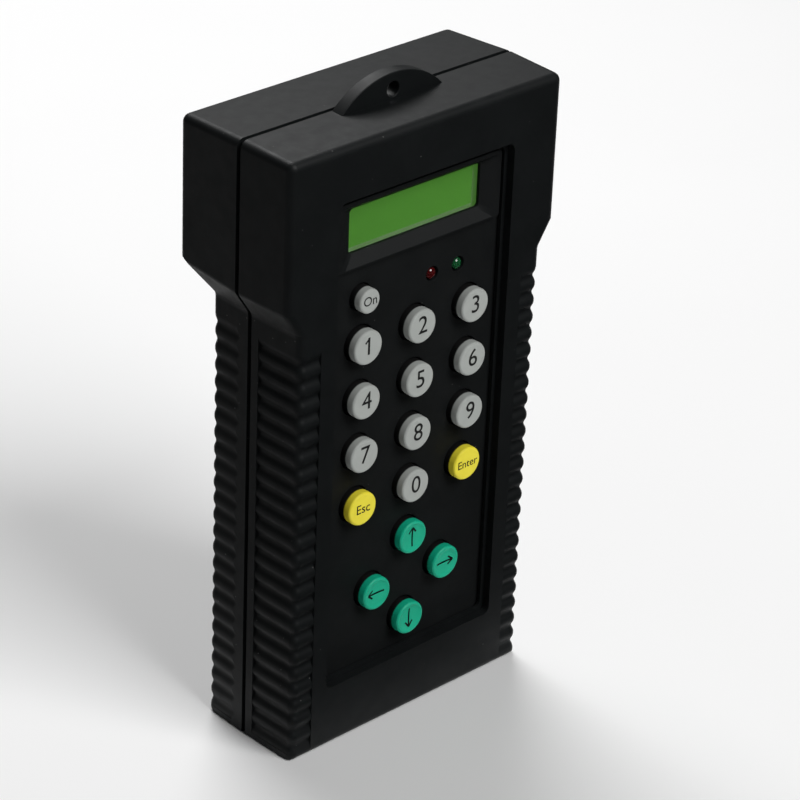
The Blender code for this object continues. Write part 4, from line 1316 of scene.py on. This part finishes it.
# ---- Front panel and display ------------------------------------------------------
@dataclass
class FrontPanel:
    """Keypad panel, raised display bezel and the display behind it."""

    key_gap: float = 0.3
    bezel_front: float = 2.0
    bezel_above: float = 7.4
    flange_front: float = 3.1
    bezel_width: float = 45.3
    rim: float = 0.9
    lower_rim: float = 0.4
    funnel: float = 1.85
    lead: float = 0.5
    window: tuple[float, float] = (36.6, 10.0)
    window_z: float = 119.9
    window_radius: float = 0.8
    contact_ledge: float = 1.2

    def panel(self, bench: Workbench, keys: list[tuple[str, float]]) -> None:
        """Model the keypad panel with its key and lamp holes.

        Args:
            bench: The modelling operators.
            keys: Nodes that need a hole, with their radii.
        """
        low, high = bench.box("keypad_panel")
        panel = bench.block("keypad_plate", (low[0], high[0]), (low[1], high[1]), (low[2], high[2]))
        cutters = []
        for node, radius in keys:
            near, far = bench.box(node)
            cutters.append(bench.rod(f"hole_{node}", radius + self.key_gap, (low[1] - PROUD, high[1] + PROUD),
                                     (near[0] + far[0]) / 2, (near[2] + far[2]) / 2, 64))
        bench.combine(panel, Cut.REMOVE, bench.merge(*cutters))
        bench.soften(panel, 0.10)
        bench.smooth(panel)
        hand_over(panel, "case", PANEL, "keypad_panel")

    def bezel(self, bench: Workbench) -> None:
        """Model the raised bezel with its sloped mouth.

        Args:
            bench: The modelling operators.
        """
        low, high = bench.box("display_bezel")
        flange = bench.block("bezel_flange", (low[0], high[0]), (self.flange_front, high[1]), (low[2], high[2]))
        half = self.bezel_width / 2
        top = self.window_z + self.bezel_above
        bezel = bench.block("display_surround", (-half, half), (self.bezel_front, high[1]), (low[2], top))
        bench.round_edges(bezel, runs_back, self.window_radius)
        bench.combine(bezel, Cut.ADD, flange)
        throat = self.bezel_front + self.funnel
        wide, tall = self.window[0] / 2, self.window[1] / 2
        mouth = bench.block("mouth_cutter", (-wide, wide), (self.bezel_front - self.lead, throat),
                            (self.window_z - tall, self.window_z + tall))
        lead = 1.0 + self.lead / self.funnel
        grow_x = (half - self.rim - wide) * lead
        grow_up = (top - self.rim - self.window_z - tall) * lead
        grow_down = (self.window_z - tall - low[2] - self.lower_rim) * lead
        for side in Side:
            bench.move(mouth, lambda at: at[1] < throat - 1.0 and at[0] * side.value > 0,
                       (grow_x * side.value, 0.0, 0.0))
        bench.move(mouth, lambda at: at[1] < throat - 1.0 and at[2] > self.window_z, (0.0, 0.0, grow_up))
        bench.move(mouth, lambda at: at[1] < throat - 1.0 and at[2] < self.window_z, (0.0, 0.0, -grow_down))
        bench.round_edges(mouth, runs_back, self.window_radius)
        throat_cutter = bench.block("throat_cutter", (-wide, wide), (throat - 0.3, high[1] + PROUD),
                                    (self.window_z - tall, self.window_z + tall))
        bench.round_edges(throat_cutter, runs_back, self.window_radius)
        bench.combine(bezel, Cut.REMOVE, mouth, throat_cutter)
        bench.soften(bezel, angle=50.0)
        bench.smooth(bezel)
        hand_over(bezel, "case", PANEL, "display_bezel")

    def glass(self, bench: Workbench) -> None:
        """Model the liquid crystal glass: two panes, the front one a little shorter.

        Args:
            bench: The modelling operators.
        """
        low, high = bench.box("display_glass")
        middle = (low[1] + high[1]) / 2
        glass = bench.block("display_pane", (low[0], high[0]), (middle, high[1]), (low[2], high[2]))
        front = bench.block("display_front_pane", (low[0], high[0]), (low[1], middle + 0.01),
                            (low[2] + self.contact_ledge, high[2]))
        bench.combine(glass, Cut.ADD, front)
        bench.soften(glass, 0.08)
        bench.smooth(glass)
        hand_over(glass, "case", DISPLAY, "display_glass")

    def build(self, bench: Workbench, keys: list[tuple[str, float]]) -> None:
        """Model the panel, the bezel and the display glass."""
        self.panel(bench, keys)
        self.bezel(bench)
        self.glass(bench)


# ---- Keys ---------------------------------------------------------------------------
class KeyStyle(Enum):
    """The four kinds of key."""

    DIGIT = ("grey", 3.85, 0.0)
    POWER = ("small grey", 2.75, 0.0)
    COMMAND = ("yellow", 3.85, 0.0)
    ARROW = ("green", 3.85, 0.5)

    @property
    def radius(self) -> float:
        """Radius of the key's top."""
        return self.value[1]

    @property
    def dish(self) -> float:
        """Depth of the hollow in its top."""
        return self.value[2]

    @property
    def finish(self) -> Finish:
        """Its moulded colour."""
        return {KeyStyle.COMMAND: KEY_YELLOW, KeyStyle.ARROW: KEY_GREEN}.get(self, KEY_GREY)


@dataclass(frozen=True)
class Legend:
    """What is printed on a key: letters and their height, or an arrow's direction."""

    words: str = ""
    height: float = 4.1
    arrow: float | None = None


KEYS: dict[str, tuple[KeyStyle, Legend]] = {
    "key_on": (KeyStyle.POWER, Legend("On", 2.1)),
    **{f"key_{digit}": (KeyStyle.DIGIT, Legend(str(digit))) for digit in (1, 2, 3, 4, 5, 6, 7, 8, 9, 0)},
    "key_escape": (KeyStyle.COMMAND, Legend("Esc", 2.2)),
    "key_enter": (KeyStyle.COMMAND, Legend("Enter", 1.9)),
    "key_up": (KeyStyle.ARROW, Legend(arrow=0.0)),
    "key_right": (KeyStyle.ARROW, Legend(arrow=270.0)),
    "key_down": (KeyStyle.ARROW, Legend(arrow=180.0)),
    "key_left": (KeyStyle.ARROW, Legend(arrow=90.0)),
}


@dataclass
class Keypad:
    """Seventeen sprung keys with printed legends."""

    edge_radius: float = 0.55
    dish_rings: int = 5
    cap_share: float = 1.40
    stroke: float = 0.005
    ink: float = 0.02
    baseline: float = 0.36
    flange: Span = (0.3, 1.1)
    plunger_radius: float = 2.0
    flag_width: Span = (-0.18, 0.24)
    flag_length: float = 1.45
    flag_slant: float = -48.0
    arrow_half: float = 0.21
    arrow_z: Span = (-2.3, 2.3)
    barb_from: float = 0.65
    barb_angle: float = 38.0
    arrow_cuts: int = 4

    def centre(self, bench: Workbench, node: str) -> Place:
        """Return the middle of a key's top face."""
        low, high = bench.box(node)
        return (low[0] + high[0]) / 2, low[1], (low[2] + high[2]) / 2

    def cap(self, bench: Workbench, style: KeyStyle, node: str) -> bpy.types.Object:
        """Model one key: rounded top, flange behind the panel and plunger.

        Args:
            bench: The modelling operators.
            style: The kind of key.
            node: CAD node that gives its size.

        Returns:
            The key, in that node's place.
        """
        low, high = bench.box(node)
        x, top, z = self.centre(bench, node)
        panel_back = bench.box("keypad_panel")[1][1]
        flange = (panel_back + self.flange[0], panel_back + self.flange[1])
        key = bench.rod(f"{node}_cap", style.radius, (top, flange[0]), x, z, 64)
        bench.round_edges(key, lambda one, two: max(one[1], two[1]) < top + TOUCH, self.edge_radius, 5)
        if style.dish:
            self.hollow_top(bench, key, style, top)
        bench.select(key, Domain.FACE, lambda at, normal: at[1] > flange[0] - TOUCH and normal.y > 0.9)
        flange_radius = (high[0] - low[0]) / 2
        bench.widen(flange_radius / style.radius, (x, flange[0], z))
        bench.extrude((0.0, flange[1] - flange[0], 0.0))
        bpy.ops.mesh.inset(thickness=(flange_radius - self.plunger_radius) * MM)
        bench.extrude((0.0, high[1] - flange[1], 0.0))
        bench.take(key)
        bench.smooth(key)
        return key

    def hollow_top(self, bench: Workbench, key: bpy.types.Object, style: KeyStyle, top: float) -> None:
        """Sink a shallow round dish into a key's top.

        Args:
            bench: The modelling operators.
            key: The key.
            style: The kind of key.
            top: Depth of the key's top.
        """
        step = (style.radius - self.edge_radius) / (self.dish_rings + 1)
        bench.select(key, Domain.FACE, lambda at, normal: at[1] < top + TOUCH and normal.y < -0.9)
        sunk = 0.0
        for ring in range(1, self.dish_rings + 1):
            level = style.dish * (1.0 - ((self.dish_rings - ring) / (self.dish_rings + 1)) ** 2)
            bpy.ops.mesh.inset(thickness=step * MM)
            bpy.ops.transform.translate(value=(0.0, (level - sunk) * MM, 0.0))
            sunk = level
        bench.take(key)

    def letters(self, bench: Workbench, node: str, legend: Legend) -> bpy.types.Object:
        """Return a printed word or digit lying on a key.

        Args:
            bench: The modelling operators.
            node: CAD node that gives its size and place.
            legend: What is printed on it.

        Returns:
            The legend.
        """
        x, top, z = self.centre(bench, node)
        bench.take()
        bpy.ops.object.text_add(location=bench.world(x, top - self.ink, z - legend.height * self.baseline),
                                rotation=(math.pi / 2, 0.0, 0.0))
        text = bpy.context.active_object
        text.data.body = legend.words
        text.data.align_x = "CENTER"
        text.data.size = legend.height * self.cap_share * MM
        text.data.extrude = self.ink / 2 * MM
        text.data.offset = self.stroke * MM
        text.data.resolution_u = 6
        bpy.ops.object.convert(target="MESH")
        mark = bench.settle(f"{node}_legend")
        if legend.words == "1":
            mark = bench.merge(mark, self.flag(bench, x, top, z + legend.height / 2))
        return mark

    def flag(self, bench: Workbench, x: float, top: float, head: float) -> bpy.types.Object:
        """Return the slanted flag of the digit one.

        Args:
            bench: The modelling operators.
            x: Middle of the digit.
            top: Depth of the key's top.
            head: Height of the digit's upper end.

        Returns:
            The flag.
        """
        flag = bench.block("flag", (x + self.flag_width[0], x + self.flag_width[1]),
                           (top - self.ink * 1.5, top - self.ink / 2), (head - self.flag_length, head))
        bench.turn(flag, self.flag_slant, (x + 0.2, top, head))
        bench.take(flag)
        return flag

    def arrow(self, bench: Workbench, node: str, legend: Legend) -> bpy.types.Object:
        """Return a thin arrow that follows a key's dish.

        Args:
            bench: The modelling operators.
            node: CAD node that gives its size and place.
            legend: What is printed on it.

        Returns:
            The legend.
        """
        x, top, z = self.centre(bench, node)
        depth = (top - 0.25, top - 0.20)
        across = (x - self.arrow_half, x + self.arrow_half)
        tail, tip = (z + end for end in self.arrow_z)
        shaft = bench.block(f"{node}_legend", across, depth, (tail, tip - NEAR))
        barbs = []
        for side in Side:
            barb = bench.block(f"barb_{side.name.lower()}", across, depth, (z + self.barb_from, tip))
            bench.turn(barb, side.value * self.barb_angle, (x, top, tip))
            barbs.append(barb)
        bench.combine(shaft, Cut.ADD, *barbs)
        for level in range(-self.arrow_cuts, self.arrow_cuts + 1):
            bench.split(shaft, z + level / 2)
        bench.turn(shaft, legend.arrow, (x, top, z))
        return shaft

    def settle_on(self, bench: Workbench, legend: bpy.types.Object, key: bpy.types.Object) -> None:
        """Lay a legend on a key's dished top.

        Args:
            bench: The modelling operators.
            legend: The legend to lay down.
            key: The key.
        """
        bench.take(legend)
        wrap = legend.modifiers.new("lie_on", "SHRINKWRAP")
        wrap.target = key
        wrap.wrap_method = "PROJECT"
        wrap.use_project_y = True
        wrap.use_positive_direction = True
        wrap.use_negative_direction = False
        wrap.offset = self.ink * MM
        bpy.ops.object.modifier_apply(modifier=wrap.name)

    def build(self, bench: Workbench) -> None:
        """Model, dress and hand over every key and its legend.

        Args:
            bench: The modelling operators.
        """
        models: dict[KeyStyle, tuple[bpy.types.Object, Place]] = {}
        for node, (style, legend) in KEYS.items():
            here = self.centre(bench, node)
            if style not in models:
                models[style] = (self.cap(bench, style, node), here)
                key = models[style][0]
            else:
                model, there = models[style]
                key = bench.clone(model, f"{node}_cap", tuple(a - b for a, b in zip(here, there)))
            if legend.arrow is None:
                mark = self.letters(bench, node, legend)
            else:
                mark = self.arrow(bench, node, legend)
                self.settle_on(bench, mark, key)
            hand_over(key, node, style.finish, node)
            hand_over(mark, node, INK, slot="")


# ---- Lamps ------------------------------------------------------------------------------
@dataclass
class Lamps:
    """Two indicator lamps with domed lenses."""

    radius: float = 1.4
    dome: float = 0.92
    collar: float = 1.0
    collar_share: float = 1.25

    def build(self, bench: Workbench) -> None:
        """Model, dress and hand over both lamps.

        Args:
            bench: The modelling operators.
        """
        for node, finish in (("red_lamp", RED_LENS), ("green_lamp", GREEN_LENS)):
            low, high = bench.box(node)
            x, z = (low[0] + high[0]) / 2, (low[2] + high[2]) / 2
            shoulder = high[1] - self.collar
            lamp = bench.rod(f"{node}_lens", self.radius, (low[1], shoulder), x, z)
            bench.round_edges(lamp, lambda one, two: max(one[1], two[1]) < low[1] + TOUCH,
                              self.radius * self.dome, 10)
            bench.select(lamp, Domain.FACE, lambda at, normal: at[1] > shoulder - TOUCH and normal.y > 0.9)
            bench.widen(self.collar_share, (x, high[1], z))
            bench.extrude((0.0, self.collar, 0.0))
            bench.take(lamp)
            bench.smooth(lamp, math.radians(50), weighted=False)
            hand_over(lamp, "case", finish, node)


# ---- Battery cells -----------------------------------------------------------------------
@dataclass
class BatteryCells:
    """Four round cells, side by side and turned end for end in turn."""

    nub_radius: float = 1.9
    nub_length: float = 0.9
    edge_radius: float = 0.5
    count: int = 4

    def cell(self, bench: Workbench, node: str, up: float) -> bpy.types.Object:
        """Model one cell in its node's place.

        Args:
            bench: The modelling operators.
            node: CAD node that gives its size.
            up: 1 with the nub at the top, -1 with it at the bottom.

        Returns:
            The new cell.
        """
        low, high = bench.box(node)
        x, depth = (low[0] + high[0]) / 2, (low[1] + high[1]) / 2
        radius = (high[0] - low[0]) / 2
        ends = sorted(((low[2] if up > 0 else high[2]), (high[2] if up > 0 else low[2]) - up * self.nub_length))
        cell = bench.bar(f"{node}_can", radius, ends[1] - ends[0], (x, depth, sum(ends) / 2), Axis.UP, 64)
        bench.round_edges(cell, lambda one, two: abs(one[2] - two[2]) < 0.01, self.edge_radius, 4)
        bench.select(cell, Domain.FACE, lambda at, normal: normal.z * up > 0.99)
        bpy.ops.mesh.inset(thickness=(radius - self.edge_radius - self.nub_radius) * MM)
        bench.extrude((0.0, 0.0, up * self.nub_length))
        bench.take(cell)
        bench.smooth(cell)
        return cell

    def build(self, bench: Workbench) -> None:
        """Model, dress and hand over every cell.

        Args:
            bench: The modelling operators.
        """
        for number in range(1, self.count + 1):
            node = f"battery_cell_{number}"
            up = 1.0 if number % 2 else -1.0
            finish = CELL_UPRIGHT if number % 2 else CELL_TURNED
            hand_over(self.cell(bench, node, up), "case", finish, node, slot="cell_wrap")


# ---- What stays as the CAD made it ---------------------------------------------------------
@dataclass
class InnerParts:
    """Board, contacts, display layers, loudspeaker and screws: CAD nodes with finishes."""

    sets: int = 4

    def finishes(self) -> dict[str, Finish]:
        """Return the finish of every node that is shown as it is.

        Returns:
            The finish of each node.
        """
        table = {"main_board": BOARD, "key_mat": RUBBER, "controller_chip": CHIP, "sound_memory_chip": CHIP,
                 "amplifier_chip": CHIP, "capacitor": SLEEVE, "display_window": LENS,
                 "display_light_guide": GUIDE, "display_frame": STEEL, "speaker_basket": STEEL,
                 "speaker_cone": PAPER, "speaker_magnet": MAGNET, "speaker_gasket": FOAM}
        for number in range(1, self.sets + 1):
            for part in ("battery_spring", "battery_contact", "case_screw"):
                table[f"{part}_{number}"] = STEEL
        return table

    def build(self, nodes: dict[str, bpy.types.Object]) -> None:
        """Give each node its material."""
        for name, finish in self.finishes().items():
            dress(nodes[name], finish)
            LOG.info("%s: dressed in %s", name, finish.name)


# ---- Studio ---------------------------------------------------------------------------------
@dataclass
class Studio:
    """Pale floor, soft light from above and behind, and the camera.

    Places are metres from the middle of the floor, and powers are watts.  A lobe is its direction,
    the cosine at which it begins and its strength.  A card is its place, its size and its shade.
    """

    camera_at: Place = (-0.4282898, -0.4327545, 0.4057202)
    camera_turn: Place = (61.594140501, -2.078701693, -43.185551254)
    lens: float = 148.7035
    key_power: float = 7.0
    key_size: float = 0.55
    key_at: Place = (0.25, 0.55, 0.85)
    fill_power: float = 20.0
    fill_size: float = 0.9
    fill_at: Place = (0.15, -1.15, 1.25)
    ambient: float = 0.06
    floor_size: float = 8.0
    aim: Place = (0.0, 0.0, 0.07)
    lobes: tuple[tuple[Place, float, float], ...] = (
        ((0.62, 0.64, 0.50), 0.3, 0.40),
        ((0.0, 0.0, 1.0), 0.3, 0.20),
    )
    cards: tuple[tuple[Place, float, float], ...] = (
        ((0.46, -0.525, 0.0006), 1.0, 0.004),
        ((-0.541, -0.525, 0.0004), 1.0, 0.002),
        ((-0.545, 0.48, 0.0005), 1.0, 0.25),
    )

    def floor(self) -> None:
        """Lay the pale floor."""
        Workbench.take()
        bpy.ops.mesh.primitive_plane_add(size=self.floor_size, location=(0.0, 0.0, 0.0))
        floor = bpy.context.active_object
        floor.name = "floor"
        dress(floor, Finish("studio_floor", (0.93, 0.93, 0.93), 0.01, 200.0, 0.9, 0.03, 0.0, grain_depth=0.0))

    def lobe(self, tree: bpy.types.NodeTree, towards: Place, start: float, strength: float) -> bpy.types.NodeSocket:
        """Return a soft patch of light round one direction of the surroundings.

        Args:
            tree: The world's nodes.
            towards: Middle of the patch.
            start: Cosine of the angle at which it begins.
            strength: Its brightness in the middle.

        Returns:
            Its brightness.
        """
        place = tree.nodes.new("ShaderNodeTexCoord")
        along = tree.nodes.new("ShaderNodeVectorMath")
        along.operation = "DOT_PRODUCT"
        along.inputs[1].default_value = Vector(towards).normalized()
        fade = tree.nodes.new("ShaderNodeMapRange")
        fade.interpolation_type = "SMOOTHSTEP"
        fade.inputs["From Min"].default_value = start
        fade.inputs["From Max"].default_value = 1.0
        fade.inputs["To Max"].default_value = strength
        tree.links.new(place.outputs["Generated"], along.inputs[0])
        tree.links.new(along.outputs["Value"], fade.inputs["Value"])
        return fade.outputs["Result"]

    def world(self) -> None:
        """Surround the caller with dim light and brighter patches of soft light."""
        world = bpy.data.worlds.new("studio")
        bpy.context.scene.world = world
        world.use_nodes = True
        tree = world.node_tree
        total = self.ambient
        for towards, start, strength in self.lobes:
            total = calculate(tree, "ADD", self.lobe(tree, towards, start, strength), total)
        tree.links.new(total, tree.nodes["Background"].inputs["Strength"])

    def card(self, name: str, at: Place, size: float, shade: float) -> None:
        """Lay a dark card on the floor that only dims what glossy surfaces mirror.

        Args:
            name: Name of the new object.
            at: Its middle.
            size: Length of a side.
            shade: How pale it is, 0 to 1.
        """
        Workbench.take()
        bpy.ops.mesh.primitive_plane_add(size=size, location=at)
        card = bpy.context.active_object
        card.name = name
        dress(card, Finish(name, (shade, shade, shade), 0.1, 20.0, 0.9, 0.03, 0.0, grain_depth=0.0))
        card.visible_camera = False
        card.visible_shadow = False
        card.visible_diffuse = False

    def light(self, name: str, at: Place, size: float, power: float) -> None:
        """Hang a square soft light that faces the caller.

        Args:
            name: Name of the new object.
            at: Its middle.
            size: Length of a side.
            power: Its power.
        """
        Workbench.take()
        bpy.ops.object.light_add(type="AREA", location=at)
        lamp = bpy.context.active_object
        lamp.name = name
        lamp.data.size = size
        lamp.data.energy = power
        towards = Vector(self.aim) - Vector(at)
        lamp.rotation_euler = towards.to_track_quat("-Z", "Y").to_euler()

    def camera(self, front_y: float) -> None:
        """Stand the camera in front of the caller, to its left and above.

        Args:
            front_y: World Y of the front face, in metres.
        """
        Workbench.take()
        x, y, z = self.camera_at
        bpy.ops.object.camera_add(location=(x, y + front_y, z),
                                  rotation=[math.radians(angle) for angle in self.camera_turn])
        camera = bpy.context.active_object
        camera.data.lens = self.lens
        camera.data.sensor_width = 36.0
        camera.data.clip_start = 0.01
        bpy.context.scene.camera = camera

    def build(self, front_y: float) -> None:
        """Set up the whole studio.

        Args:
            front_y: World Y of the front face, in metres.
        """
        self.camera(front_y)
        self.floor()
        self.world()
        self.light("key_light", self.key_at, self.key_size, self.key_power)
        self.light("front_light", self.fill_at, self.fill_size, self.fill_power)
        for number, (at, size, shade) in enumerate(self.cards, 1):
            self.card(f"dark_card_{number}", at, size, shade)
        scene = bpy.context.scene
        scene.view_settings.view_transform = "Standard"
        scene.view_settings.look = "None"


def main() -> None:
    """Build every sub-assembly in order."""
    logging.basicConfig(level=logging.INFO, format="%(name)s: %(message)s")
    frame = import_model()
    front_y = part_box("front_shell")[0].y
    bench = Workbench(front_y)
    form = CaseForm()
    ribs = RibbedGrip()
    Studio().build(front_y)
    FrontShell(form, ribs).build(bench)
    RearShell(form, ribs).build(bench)
    BatteryDoor(form).build(bench)
    lamps = Lamps()
    holes = [(node, style.radius) for node, (style, _) in KEYS.items()]
    holes += [(node, lamps.radius) for node in ("red_lamp", "green_lamp")]
    FrontPanel().build(bench, holes)
    Keypad().build(bench)
    lamps.build(bench)
    BatteryCells().build(bench)
    InnerParts().build(frame["nodes"])


if __name__ == "__main__":
    main()
